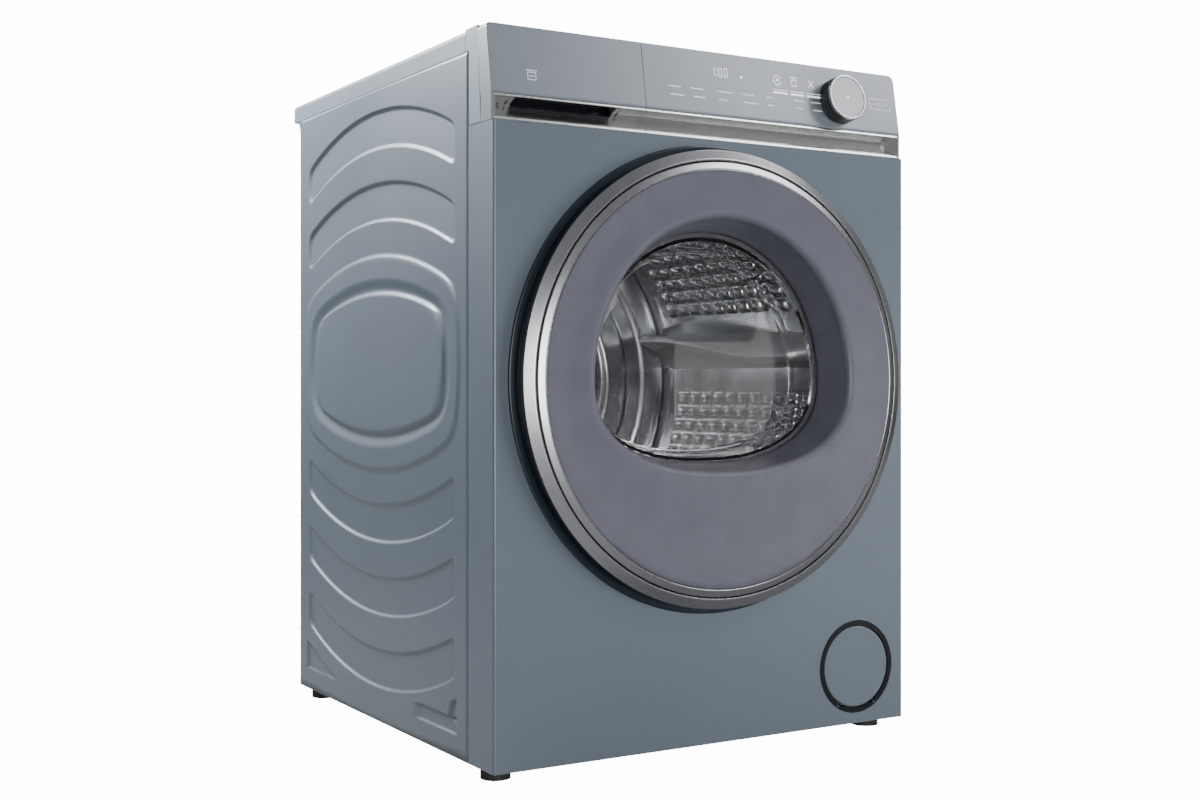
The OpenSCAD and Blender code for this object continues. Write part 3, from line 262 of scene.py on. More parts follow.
class Finish:
    """A node material that starts from one Principled shader."""

    def __init__(self, name, color, rough, metal=0.0, **sockets):
        self.mat = bpy.data.materials.new(name)
        self.mat.use_nodes = True
        self.tree = self.mat.node_tree
        self.shader = self.tree.nodes["Principled BSDF"]
        self.shader.inputs["Base Color"].default_value = (*color, 1)
        self.shader.inputs["Roughness"].default_value = rough
        self.shader.inputs["Metallic"].default_value = metal
        for key, value in sockets.items():
            self.shader.inputs[key.replace("_", " ")].default_value = value
        self.color = color
        self.rough = rough
        self.bumps = None
        self.place = self.tree.nodes.new("ShaderNodeTexCoord").outputs["Object"]

    def node(self, kind, **inputs):
        made = self.tree.nodes.new(kind)
        for key, value in inputs.items():
            made.inputs[key.replace("_", " ")].default_value = value
        return made

    def link(self, a, b):
        self.tree.links.new(a, b)

    def mapped(self, scale):
        m = self.node("ShaderNodeMapping", Scale=scale)
        self.link(self.place, m.inputs["Vector"])
        return m.outputs["Vector"]

    def noise(self, scale, detail=3.0, stretch=(1, 1, 1)):
        n = self.node("ShaderNodeTexNoise", Scale=scale, Detail=detail)
        self.link(self.mapped(stretch), n.inputs["Vector"])
        return n.outputs["Fac"]

    def spread(self, fac, low, high):
        """fac (about 0.3 to 0.7) turned into a value from low to high."""
        r = self.node("ShaderNodeMapRange")
        r.inputs["From Min"].default_value = 0.3
        r.inputs["From Max"].default_value = 0.7
        r.inputs["To Min"].default_value = low
        r.inputs["To Max"].default_value = high
        self.link(fac, r.inputs["Value"])
        return r.outputs["Result"]

    def vary_color(self, fac, amount):
        """The base colour made up to amount lighter or darker by fac."""
        mix = self.tree.nodes.new("ShaderNodeMix")
        mix.data_type = "RGBA"
        mix.inputs["A"].default_value = (*[c * (1 - amount) for c in self.color], 1)
        mix.inputs["B"].default_value = (*[min(1, c * (1 + amount)) for c in self.color], 1)
        self.link(self.spread(fac, 0, 1), mix.inputs["Factor"])
        self.link(mix.outputs["Result"], self.shader.inputs["Base Color"])
        return self

    def vary_rough(self, fac, amount):
        self.link(self.spread(fac, self.rough - amount, self.rough + amount), self.shader.inputs["Roughness"])
        return self

    def bump(self, height, strength, depth):
        b = self.node("ShaderNodeBump", Strength=strength, Distance=depth)
        self.link(height, b.inputs["Height"])
        if self.bumps is not None:
            self.link(self.bumps, b.inputs["Normal"])
        self.bumps = b.outputs["Normal"]
        self.link(self.bumps, self.shader.inputs["Normal"])
        return self


def painted(name, color, rough, metal=0.35, coat=0.25):
    """Satin metallic paint: fine flake, faint orange peel and slow changes of tone."""
    f = Finish(name, color, rough, metal, Coat_Weight=coat, Coat_Roughness=0.22)
    f.vary_color(f.noise(2600, 2), 0.10)
    f.vary_rough(f.noise(6, 2), 0.03)
    f.bump(f.noise(420, 2), 0.06, 0.0006)
    return f.mat


def moulded(name, color, rough, grain=900, depth=0.0003, **sockets):
    """Moulded plastic with a fine spark-eroded grain."""
    f = Finish(name, color, rough, 0.0, **sockets)
    f.vary_color(f.noise(30, 3), 0.06)
    f.vary_rough(f.noise(14, 2), 0.04)
    f.bump(f.noise(grain, 4), 0.25, depth)
    return f.mat


def brushed(name, color, rough, stretch, amount=0.08, strength=0.12, scale=500, **sockets):
    """Metal brushed along one direction: stretch is small along the strokes."""
    f = Finish(name, color, rough, 1.0, **sockets)
    strokes = f.noise(scale, 4, stretch)
    f.vary_color(strokes, amount)
    f.vary_rough(f.noise(9, 3), 0.03)
    f.bump(strokes, strength, 0.00002)
    return f.mat


def zinc(name, color, rough):
    """Galvanised sheet with its faint crystal pattern."""
    f = Finish(name, color, rough, 0.9)
    cells = f.node("ShaderNodeTexVoronoi", Scale=90.0)
    f.link(f.mapped((1, 1, 1)), cells.inputs["Vector"])
    f.vary_color(cells.outputs["Distance"], 0.10)
    f.vary_rough(f.noise(45, 4), 0.09)
    f.bump(f.noise(160, 3), 0.08, 0.0003)
    return f.mat


def clear_glass(name):
    f = Finish(name, (0.95, 0.97, 0.97), 0.0, 0.0, Transmission_Weight=1.0, IOR=1.46)
    f.vary_color(f.noise(3, 1), 0.01)
    return f.mat


def print_with_painted_glow(name, color, glow):
    """Pale print on the fascia; its emission glow is painted light that makes the print read brighter than
    the lamps leave it.
    """
    f = Finish(name, color, 0.4, 0.0, Emission_Strength=glow)
    f.shader.inputs["Emission Color"].default_value = (*color, 1)
    f.vary_color(f.noise(900, 2), 0.08)
    return f.mat


SLATE = (0.134, 0.163, 0.198)
M = {
    "body": painted("slate_paint", SLATE, 0.42),
    "fascia": painted("fascia_slate", (0.200, 0.228, 0.262), 0.34, 0.30, 0.5),
    "worktop": painted("worktop_slate", (0.150, 0.185, 0.220), 0.46, 0.15, 0.1),
    "cover": moulded("smoky_cover", (0.102, 0.105, 0.132), 0.40, 40, 0.00005, Coat_Weight=0.12,
                     Coat_Roughness=0.20, Specular_IOR_Level=0.28),
    "silver": brushed("silver_trim", (0.66, 0.67, 0.66), 0.24, (0.02, 1, 1), 0.012, 0.01, 1500),
    "ring": brushed("ring_silver", (0.46, 0.46, 0.48), 0.27, (1, 0.05, 1), 0.012, 0.01, 900),
    "dial": painted("dial_face", (0.40, 0.41, 0.43), 0.36, 0.2, 0.2),
    "black": moulded("black_plastic", (0.012, 0.013, 0.015), 0.38),
    "gloss_black": moulded("gloss_black", (0.006, 0.007, 0.009), 0.16, 60, 0.0001),
    "navy": moulded("navy_plastic", (0.010, 0.018, 0.028), 0.30),
    "grey": moulded("grey_plastic", (0.30, 0.31, 0.33), 0.45),
    "white": moulded("white_plastic", (0.72, 0.73, 0.74), 0.40),
    "dark": moulded("dark_plastic", (0.045, 0.048, 0.054), 0.50),
    "rubber": moulded("rubber_seal", (0.020, 0.020, 0.022), 0.62, 500, 0.0005),
    "felt": moulded("felt_ring", (0.50, 0.46, 0.38), 0.95, 1400, 0.0016, Sheen_Weight=0.4),
    "steel": brushed("drum_steel", (0.36, 0.37, 0.38), 0.17, (1, 0.03, 1), 0.02, 0.01, 900),
    "fin": brushed("lifter_steel", (0.50, 0.51, 0.52), 0.42, (1, 0.03, 1), 0.05, 0.05, 700),
    "back": brushed("drum_back_steel", (0.46, 0.46, 0.47), 0.22, (1, 1, 1), 0.02, 0.01, 900),
    "zinc": zinc("zinc_steel", (0.52, 0.54, 0.56), 0.42),
    "motor": painted("motor_paint", (0.045, 0.048, 0.052), 0.45, 0.3),
    "fins": brushed("aluminium_fins", (0.72, 0.73, 0.74), 0.38, (1, 1, 0.03)),
    "copper": brushed("copper_fins", (0.72, 0.42, 0.28), 0.36, (1, 1, 0.03)),
    "board": moulded("board_green", (0.02, 0.12, 0.05), 0.42, 300, 0.0002),
    "belt": moulded("belt_rubber", (0.015, 0.015, 0.016), 0.70, 700, 0.0006),
    "glass": clear_glass("clear_glass"),
    # Both prints glow through their emission: painted light laid over pale print.
    "print": print_with_painted_glow("fascia_print_painted_glow", (0.86, 0.90, 0.95), 1.1),
    "faint": print_with_painted_glow("fascia_faint_print_painted_glow", (0.70, 0.75, 0.80), 0.30),
}


# ---- Casing ----

BAND_DEPTH = 4.0
BOSS = SIDE_HI.x - HALF_W  # how far the barrel ring stands proud
BAND_Y = (SIDE_LO.y + SIDE_HI.y) / 2  # middle of the pressings
BAND_HALF = (SIDE_HI.y - SIDE_LO.y) / 2 - 36  # half length of a band
BAND_H = 47
BAND_PITCH = 93
UPPER_BANDS = 2
LOWER_BANDS = 3
SAG = 48  # rise of the pressings' arcs
UPPER_BAND = TOP - 102.5  # upper edge of the highest band at its ends
LOWER_BAND = 92  # lower edge of the lowest band at its ends
BARREL_Z = 458  # middle of the barrel-shaped pressing
RING_HALF = 92  # half heights of its raised ring, of the valley
VALLEY_HALF = 60  # inside it and of its middle
CENTRE_HALF = 48
FLANK = 5.0  # width of a pressed flank


def arc_rise(y):
    """Height of the pressings' arc above its ends: SAG in the middle."""
    r = (BAND_HALF ** 2 + SAG ** 2) / (2 * SAG)
    d = np.minimum(np.abs(y - BAND_Y), BAND_HALF)
    return np.sqrt(r * r - d * d) - (r - SAG)


def plateau(inside, flank=FLANK):
    """0 outside, 1 inside, with a rounded flank; inside is the distance in from the edge."""
    return smooth_step(inside / flank + 0.5)


def soft_min(*values, k=9.0):
    """The smallest of several distances, rounded where they meet."""
    total = sum(np.exp(-v / k) for v in values)
    return -k * np.log(total)


def barrel_in(y, z, half_z, half_y, bulge):
    """Distance inside the barrel outline: arcs above and below, and bulging sides."""
    rise = arc_rise(y) * (half_y / BAND_HALF) ** 0.5
    up = BARREL_Z + half_z + rise - z
    down = z - (BARREL_Z - half_z - rise)
    side = half_y + bulge * np.clip(1 - ((z - BARREL_Z) / (half_z * 1.1)) ** 2, 0, 1) - np.abs(y - BAND_Y)
    return soft_min(up, down, side)


def side_height(y, z):
    """How far the pressed side stands out of the casing's flat side at (y, z)."""
    h = np.zeros_like(y)
    ends = BAND_HALF - np.abs(y - BAND_Y)
    bands = [(UPPER_BAND - i * BAND_PITCH, 1) for i in range(UPPER_BANDS)]
    bands += [(LOWER_BAND + i * BAND_PITCH + BAND_H, -1) for i in range(LOWER_BANDS)]
    for top_end, way in bands:
        top = top_end + way * arc_rise(y)
        inside = soft_min(top - z, z - (top - BAND_H), ends, k=5.0)
        # A band is deepest along its outer edge and runs out softly towards the other one
        share = np.clip((top - z) / BAND_H, 0, 1)
        depth = 0.55 + 0.45 * (1 - share if way > 0 else share)
        h -= BAND_DEPTH * plateau(inside) * depth
    outer = barrel_in(y, z, RING_HALF, BAND_HALF, 17)
    h += BOSS * plateau(outer - 3, 8)
    valley = barrel_in(y, z, VALLEY_HALF, BAND_HALF - 22, 15)
    h -= (BOSS + 1.6) * plateau(valley - 4, 16)
    centre = barrel_in(y, z, CENTRE_HALF, BAND_HALF - 32, 6)
    h += (BOSS + 1.2) * plateau(centre - 3, 6)
    for pocket in POCKETS:
        h -= POCKET_DEPTH * plateau(pocket_in(y, z, pocket), 4.0)
    return h


# Small pressed pockets at the bottom corners: convex (y, z) outlines
POCKET_DEPTH = 3.0
POCKET_EDGES = [28, 66, 45]  # heights where their edges want fine rows
POCKETS = (
    ((SIDE_HI.y - 29, 66), (SIDE_HI.y - 29, 29), (SIDE_HI.y - 138, 29)),
    ((206, 44), (206, 27), (95, 27), (95, 44)),
    ((114, 46), (95, 34), (95, 67), (108, 62)),
)


def pocket_in(y, z, outline):
    """Distance inside a convex outline."""
    cy = sum(p[0] for p in outline) / len(outline)
    cz = sum(p[1] for p in outline) / len(outline)
    best = None
    for (y0, z0), (y1, z1) in zip(outline, outline[1:] + outline[:1]):
        ny, nz = z1 - z0, y0 - y1
        size = math.hypot(ny, nz)
        ny, nz = ny / size, nz / size
        if (cy - y0) * ny + (cz - z0) * nz < 0:
            ny, nz = -ny, -nz
        d = (y - y0) * ny + (z - z0) * nz
        best = d if best is None else np.minimum(best, d)
    return best


def fine_lines(start, end, edges, coarse=14.0, reach=8.0, fine=1.25):
    """Grid lines from start to end, close together near each edge."""
    lines = [start]
    while lines[-1] < end - 1e-6:
        here = lines[-1]
        near = min((abs(here - e) for e in edges), default=99)
        step = fine if near <= reach else min(coarse, max(fine, near - reach))
        lines.append(min(end, here + step))
    return lines


def side_panel(side):
    """The pressed side panel as one sheet; its grid lines follow the pressings' arcs."""
    top = SIDE_HI.z
    edges = []
    for i in range(UPPER_BANDS):
        edges += [UPPER_BAND - i * BAND_PITCH, UPPER_BAND - i * BAND_PITCH - BAND_H]
    for i in range(LOWER_BANDS):
        edges += [LOWER_BAND + i * BAND_PITCH + BAND_H, LOWER_BAND + i * BAND_PITCH]
    for h in (RING_HALF, VALLEY_HALF, CENTRE_HALF):
        edges += [BARREL_Z + h, BARREL_Z - h]
    edges += POCKET_EDGES
    ends = [BAND_Y + s * (BAND_HALF + d) for s in (-1, 1) for d in (0, -22, 12)]
    ys = np.array(fine_lines(SIDE_LO.y, SIDE_HI.y, ends, 9.0, 7.0, 1.5))
    rows = np.array(fine_lines(0, top, edges, 12.0, 6.0, 1.3))
    # Share of the arc that each row follows: 1 above the barrel, -1 below it, 0 at the panel's edges
    anchors_z = [0, LOWER_BAND, BARREL_Z - CENTRE_HALF, BARREL_Z + CENTRE_HALF, UPPER_BAND, top]
    anchors_w = [0, -1, -1, 1, 1, 0]
    weight = np.interp(rows, anchors_z, anchors_w)
    lift = arc_rise(ys)
    rings = []
    for z_row, w in zip(rows, weight):
        z = z_row + w * lift
        x = HALF_W + side_height(ys, z)
        fade = smooth_step(np.minimum(ys - SIDE_LO.y, SIDE_HI.y - ys) / 6) if 0 < z_row < top else 0 * ys
        x = HALF_W + (x - HALF_W) * fade
        rings.append([(side * a, b, c) for a, b, c in zip(x, ys, z)])
    return loft(rings, wrap=False)


def edge_fold(side):
    """The folded front edge of the side panel, behind its sheet."""
    x0, x1 = side * (HALF_W - SHEET), side * (HALF_W - 9)
    y0, y1 = SIDE_LO.y, SIDE_LO.y + SHEET
    return prism([(x0, y0), (x1, y0), (x1, y1), (x0, y1)], 0, SIDE_HI.z, "z")


for side, node in ((-1, "left_side_panel"), (1, "right_side_panel")):
    new_piece(f"{node}_sheet", side_panel(side), M["body"], "root", (node,), sharp=60,
              weighted=False, solid=SHEET)
    new_piece(f"{node}_fold", edge_fold(side), M["body"], "root")


def front_panel():
    """Front panel: a flat face with its two round openings and long sides that wrap round."""
    r = 3.0  # outer radius of the bend
    z0, z1 = 0.0, PANEL_TOP
    face = [(-HALF_W + r, z0), (HALF_W - r, z0), (HALF_W - r, z1), (-HALF_W + r, z1)]
    holes = [circle(0, DOOR_Z, OPENING_R, 128), circle(FLAP_X, FLAP_Z, FLAP_R + FLAP_RING, 96)]
    flat = plate(face, holes, 0, SHEET)

    def bend(s, k):
        """One face of the bent side, k from the bend's centre."""
        return [(s * (HALF_W - r + k * math.sin(a)), r - k * math.cos(a))
                for a in np.linspace(0, math.pi / 2, 7)] + [(s * (HALF_W - r + k), WRAP)]

    bends = [prism(bend(s, r) + bend(s, r - SHEET)[::-1], z0, z1, "z") for s in (-1, 1)]
    lip = revolve([(OPENING_R, 0.4), (OPENING_R + SHEET, 0.4), (OPENING_R + SHEET, 9), (OPENING_R, 9)], 128)
    return joined(flat, *bends, lip)


new_piece("front_panel_shell", front_panel(), M["body"], "root", ("front_panel",), sharp=40)

dress("worktop", M["worktop"])
dress("fascia_frame", M["worktop"], 0.8)
dress("base_tray", M["dark"], 0.6)


# ---- Fascia and tank drawer front ----

CORNER_R = 7.0  # outer top corners of the fascia


def lean_y(z):
    """Face of the fascia at height z."""
    return FACE_Y + max(0.0, z - BEND_Z) * LEAN


def fascia_part(x0, x1, side):
    """Leaning front skin above the trim; its outer top corner is round, seen from the front."""
    back = FASCIA_HI.y
    z_low = TRIM_HI.z + 0.2
    outer = x1 if side > 0 else x0
    rings = []
    for d in [CORNER_R * (1 - math.cos(a)) for a in np.linspace(0.12, math.pi / 2, 9)] + [x1 - x0]:
        top = TOP - CORNER_R + math.sqrt(CORNER_R ** 2 - max(0.0, CORNER_R - d) ** 2)
        outline = rounded([(back - 6.5, z_low), (FACE_Y, z_low), (FACE_Y, BEND_Z), (lean_y(top), top),
                           (back, top)], [0, 1.2, 5.0, 2.6, 0], 5)
        rings.append([(outer - side * d, y, z) for y, z in outline])
    body = loft(rings, cap_start=True, cap_end=True)
    inner = outer - side * 3
    strip = prism(rounded([(31.5, FASCIA_LO.z), (FACE_Y, FASCIA_LO.z), (FACE_Y, z_low), (31.5, z_low)],
                          [0, 1.2, 0, 0], 4), min(outer, inner), max(outer, inner))
    return joined(body, strip)


for name, node, x0, x1, side, body in (
        ("tank_front_skin", "tank_front", TANK_LO.x, TANK_HI.x, -1, "tank_drawer"),
        ("fascia_skin", "fascia", FASCIA_LO.x, FASCIA_HI.x, 1, "root")):
    new_piece(name, fascia_part(x0, x1, side), M["fascia"], body, (node,), sharp=30)


# ---- Metal trim ----

BORDER = 3.0  # bright border of the strip
CROWN = 0.8  # how far a border leans back
VALLEY_Y = TRIM_LO.y + 14
VALLEY_Z = TRIM_LO.z + 18.7
VALLEY_FLAT = 1.3  # flat floor of the groove
MITRE = 11.0
TRIM_BACK = VALLEY_Y + 3


def trim_section():
    """Closed (y, z) section of the strip; its two middle points are the groove's floor."""
    y, z0, z1 = TRIM_LO.y, TRIM_LO.z, TRIM_HI.z
    lower = rounded([(TRIM_BACK, z0), (y, z0), (y + CROWN, z0 + BORDER), (VALLEY_Y, VALLEY_Z - VALLEY_FLAT)],
                    [0, 0.5, 0.5, 0], 3)
    upper = rounded([(VALLEY_Y, VALLEY_Z + VALLEY_FLAT), (y, z1 - BORDER), (y + CROWN, z1), (TRIM_BACK, z1)],
                    [0, 0.5, 0.5, 0], 3)
    return lower, upper


def trim_length(x0, x1, mitre=0):
    """A length of the strip; mitre is -1 or 1 where its low or high end closes the groove."""
    lower, upper = trim_section()
    full = [tuple(p) for p in lower + upper]
    low, high = len(lower) - 1, len(lower)
    closed = list(full)
    closed[low], closed[high] = full[low - 1], full[high + 1]
    if mitre:
        end, start = (x1, x0) if mitre > 0 else (x0, x1)
        stations = [(start, full), (end - mitre * (BORDER + MITRE), full), (end - mitre * BORDER, closed),
                    (end, closed)]
    else:
        stations = [(x0, full), (x1, full)]
    return loft([[(x, y, z) for y, z in section] for x, section in stations], cap_start=True, cap_end=True)


def trim_over_pocket(x0, x1):
    """The strip's lower half and its top lip, where the finger pocket opens between them."""
    lower, upper = trim_section()
    lower = lower + [np.array((TRIM_BACK, VALLEY_Z - VALLEY_FLAT))]
    lip_y = TRIM_LO.y + 2.2
    upper = upper[1:-1] + [np.array((lip_y, TRIM_HI.z)), np.array((lip_y, TRIM_HI.z - BORDER))]
    return joined(prism(lower, x0, x1), prism(upper, x0, x1))


POCKET_X0 = TANK_LO.x + 30.5
POCKET_X1 = POCKET_X0 + 133
POCKET_Z1 = TANK_TRIM_HI.z - 2
POCKET_BACK = TANK_TRIM_HI.y - 2

new_piece("fascia_trim_strip", trim_length(TRIM_LO.x, TRIM_HI.x, 1), M["silver"], "root",
          ("fascia_trim",), sharp=30, weighted=False)
new_piece("tank_trim_strip", joined(trim_length(TANK_TRIM_LO.x, POCKET_X0, -1),
                                    trim_over_pocket(POCKET_X0, POCKET_X1),
                                    trim_length(POCKET_X1, TANK_TRIM_HI.x)), M["silver"], "tank_drawer",
          ("tank_trim",), sharp=30, weighted=False)


def finger_pocket():
    """Black pocket that the fingers hook up into."""
    x0, x1 = POCKET_X0 - 6, POCKET_X1 + 6
    z0, z1 = VALLEY_Z - 1.2, POCKET_Z1
    y0, y1 = VALLEY_Y + 0.6, POCKET_BACK
    inner = [(y0, z0), (y1, z0), (y1, z1), (16.0, z1), (16.0, TRIM_HI.z - BORDER + 0.2),
             (TRIM_LO.y + 0.8, TRIM_HI.z - BORDER + 0.2)]
    walls = loft([[(x0, y, z) for y, z in inner], [(x1, y, z) for y, z in inner]], wrap=False)
    ends = ([(x, y, z) for x in (x0, x1) for y, z in inner], [tuple(range(6)), tuple(range(6, 12))])
    return joined(walls, ends)


new_piece("finger_pocket", finger_pocket(), M["gloss_black"], "tank_drawer", sharp=30,
          weighted=False)


# ---- Dial ----

DIAL_LO, DIAL_HI = box_of("dial_knob")
DIAL_R = (DIAL_HI.x - DIAL_LO.x) / 2
DIAL_X = (DIAL_LO.x + DIAL_HI.x) / 2
TILT = math.atan(LEAN)
DIAL_BASE_Z = TOP - 45.3
DIAL_BASE_Y = lean_y(DIAL_BASE_Z)
DIAL_H = 22.0
GRIP_RIBS = 72


def on_fascia(x, up, out):
    """A point up the leaning fascia from the dial's height, and out of its face."""
    return (x, DIAL_BASE_Y + up * math.sin(TILT) - out * math.cos(TILT),
            DIAL_BASE_Z + up * math.cos(TILT) + out * math.sin(TILT))


def dial_turned(profile, steps=144, ribs=0.0):
    """Turns (radius, height, grip) points round the dial's axis; ribs make a fine grip."""
    rings = []
    for k in range(steps):
        a = 2 * math.pi * k / steps
        ring = []
        for r, h, grip in profile:
            rr = r - (ribs * (0.5 + 0.5 * math.cos(a * GRIP_RIBS)) if grip else 0.0)
            ring.append(on_fascia(DIAL_X + rr * math.cos(a), rr * math.sin(a), h))
        rings.append(ring)
    return loft(rings, wrap=False, loop=True)


new_piece("dial_side", dial_turned([
    (DIAL_R - 3.0, 1.95, 0), (DIAL_R - 0.8, 1.95, 0), (DIAL_R - 0.25, 2.6, 1), (DIAL_R - 0.1, 8, 1),
    (DIAL_R - 0.1, 14, 1), (DIAL_R - 0.3, DIAL_H - 3.4, 1), (DIAL_R - 0.9, DIAL_H - 2.9, 0),
    (DIAL_R - 3.0, DIAL_H - 2.9, 0)], 288, 0.30), M["black"], "dial", ("dial_knob",),
    sharp=50, weighted=False)
new_piece("dial_rim", dial_turned([(r, h, 0) for r, h in rounded(
    [(DIAL_R - 0.15, DIAL_H - 2.9), (DIAL_R - 0.15, DIAL_H - 1.2), (DIAL_R - 0.9, DIAL_H),
     (DIAL_R - 3.0, DIAL_H), (DIAL_R - 3.4, DIAL_H - 0.6), (DIAL_R - 3.4, DIAL_H - 2.9)], 0.35, 3)]
    + [(DIAL_R - 0.15, DIAL_H - 2.9, 0)]), M["ring"], "dial", sharp=40)
new_piece("dial_face", dial_turned([
    (DIAL_R - 3.4, DIAL_H - 1.4, 0), (DIAL_R - 3.7, DIAL_H - 0.75, 0), (DIAL_R - 4.3, DIAL_H - 0.6, 0),
    (18, DIAL_H - 0.8, 0), (10, DIAL_H - 0.95, 0), (0.02, DIAL_H - 1.0, 0)]), M["dial"], "dial",
    sharp=40)
dress("dial_shaft", M["steel"])
dress("control_board", M["board"])


# ---- Marks on the fascia: plain bars and simple signs ----

MARK_OUT = 0.12  # how far a mark stands out of the fascia
MARK_IN = -0.05
ARC_STEPS = 28
FRAME_LINE = 0.7  # line width of an outlined box


def mark_at(x, z, out):
    """A point on the leaning fascia, given by x and its height z."""
    return on_fascia(x, (z - DIAL_BASE_Z) / math.cos(TILT), out)


def raised_mark(outline):
    """A thin raised shape from (x, z) points on the fascia."""
    return loft([[mark_at(x, z, out) for x, z in outline] for out in (MARK_IN, MARK_OUT)],
                cap_start=True, cap_end=True)


def box_mark(x0, x1, z0, z1):
    """A plain raised rectangle."""
    return raised_mark([(x0, z0), (x1, z0), (x1, z1), (x0, z1)])


def bar(x0, x1, z, thick=1.0):
    return raised_mark(rounded([(x0, z - thick / 2), (x1, z - thick / 2), (x1, z + thick / 2),
                                (x0, z + thick / 2)], thick * 0.4, 2))


def ring_mark(cx, cz, r, width, start, end):
    """An arc of a ring, from start to end in degrees; a full ring where they are a turn apart."""
    section = ((r, MARK_IN), (r, MARK_OUT), (r - width, MARK_OUT), (r - width, MARK_IN))
    rows = []
    for k in range(ARC_STEPS + 1):
        t = math.radians(start + (end - start) * k / ARC_STEPS)
        rows.append([mark_at(cx + rr * math.cos(t), cz + rr * math.sin(t), out) for rr, out in section])
    return loft(rows, cap_start=True, cap_end=True)


def frame_mark(x0, x1, z0, z1):
    """An outlined box."""
    return joined(bar(x0, x1, z0, FRAME_LINE), bar(x0, x1, z1, FRAME_LINE),
                  box_mark(x0, x0 + FRAME_LINE, z0, z1), box_mark(x1 - FRAME_LINE, x1, z0, z1))


# Which of the seven segments each digit lights: top, upper left, upper right, middle, lower left,
# lower right, bottom
SEGMENTS = {"1": "0010010", "0": "1110111"}
DIGIT_W, DIGIT_H = 5.4, 12.0
STROKE = 1.25
GAP = 0.3  # each segment stops short of its place by this


def digit(char, x, z):
    """A seven-segment digit with its lower left corner at (x, z)."""
    w, h, t = DIGIT_W, DIGIT_H, STROKE
    places = [(0, h - t, w, t), (0, h / 2, t, h / 2), (w - t, h / 2, t, h / 2), (0, h / 2 - t / 2, w, t),
              (0, 0, t, h / 2), (w - t, 0, t, h / 2), (0, 0, w, t)]
    return joined(*[box_mark(x + px + GAP, x + px + pw - GAP, z + pz + GAP, z + pz + ph - GAP)
                    for lit, (px, pz, pw, ph) in zip(SEGMENTS[char], places) if lit == "1"])


def display_marks():
    """Bright marks: a clock time in seven segments, a dot and three signs with bars."""
    z = TOP - 31.5
    parts = [digit("1", 5, z), raised_mark(circle(13.2, z + 3.4, 0.8, 12)),
             raised_mark(circle(13.2, z + 8.6, 0.8, 12)), digit("0", 15.6, z), digit("0", 23.6, z),
             raised_mark(circle(49.5, TOP - 28.4, 1.7, 20))]
    z = TOP - 26
    # A drop in a ring, a small tub and two crossed strokes
    parts += [ring_mark(105, z, 6.2, 0.9, 20, 340), raised_mark([(103, z - 1), (107, z - 1), (105, z + 3.4)])]
    parts += [frame_mark(127, 135, z - 5, z + 3), bar(125.6, 136.4, z + 6, 0.9)]
    for s in (-1, 1):
        parts.append(raised_mark([(158 - s * 5, z - 5), (158 - s * 3.8, z - 5), (158 + s * 5, z + 5),
                                  (158 + s * 3.8, z + 5)]))
    for x0, x1 in ((96.9, 119.8), (123.8, 145.6), (149.7, 172.6)):
        parts.append(bar(x0, x1, TOP - 42, 2.2))
        parts.append(bar(x0, x1, TOP - 38.4, 0.7))
    return joined(*parts)


def label_marks():
    """Faint bars where the programme names stand."""
    rows = {TOP - 49.5: ((-60, -42), (-28, -9), (12, 34), (47, 66.5), (85, 93), (128, 144), (155, 172)),
            TOP - 59.5: ((-58, -38), (-24, -8), (12, 26), (49.5, 72), (86, 97), (130, 141), (157, 172))}
    parts = [bar(x0, x1, z, 1.5) for z, spans in rows.items() for x0, x1 in spans]
    parts += [frame_mark(252.6, 287.7, TOP - 48.2, TOP - 34.8), ring_mark(270, TOP - 41.5, 3.2, 0.8, 60, 420),
              bar(258, 264, TOP - 41.5, 0.9), bar(276, 283, TOP - 41.5, 0.9)]
    return joined(*parts)


# The marks glow through their print material's emission: painted light.
new_piece("display_marks", display_marks(), M["print"], "root", sharp=30, weighted=False)
new_piece("label_marks", label_marks(), M["faint"], "root", sharp=30, weighted=False)
new_piece("tank_mark", joined(frame_mark(-250, -239, TOP - 62, TOP - 53.5),
                              bar(-251.5, -237.5, TOP - 51.2, 0.9),
                              bar(-248, -241, TOP - 57.6, 0.8)), M["faint"], "tank_drawer", sharp=30,
          weighted=False)


def dial_stroke(half_x, half_up):
    """One stroke of the small cross on the dial's face."""
    corners = [(-half_x, -half_up), (half_x, -half_up), (half_x, half_up), (-half_x, half_up)]
    return loft([[on_fascia(DIAL_X + x, up, h) for x, up in corners] for h in (DIAL_H - 1.0, DIAL_H - 0.78)],
                cap_start=True, cap_end=True)


new_piece("dial_mark", joined(dial_stroke(0.5, 2.4), dial_stroke(2.4, 0.5)), M["print"], "dial", sharp=30,
          weighted=False)


# ---- Door ----

WINDOW_STEPS = 192
COVER_R = DOOR_R - 24.6
LIP_GROW = 9.0  # width and depth of the shoulder round the window


def window_outline(grow, scale=1.0):
    """The window's outline in x and z: half an ellipse above and a flattened curve below."""
    r, drop = WINDOW_R + grow, WINDOW_DROP + grow
    out = []
    for k in range(WINDOW_STEPS):
        a = 2 * math.pi * k / WINDOW_STEPS
        c, s = math.cos(a), math.sin(a)
        if s >= 0:
            x, z = r * c, r * WINDOW_RISE * s
        else:
            x = r * math.copysign(abs(c) ** (2 / WINDOW_POWER), c)
            z = -drop * abs(s) ** (2 / WINDOW_POWER)
        out.append((x * scale, z * scale))
    return out


def outline_at(outline, y):
    return [(x, y, DOOR_Z + z) for x, z in outline]


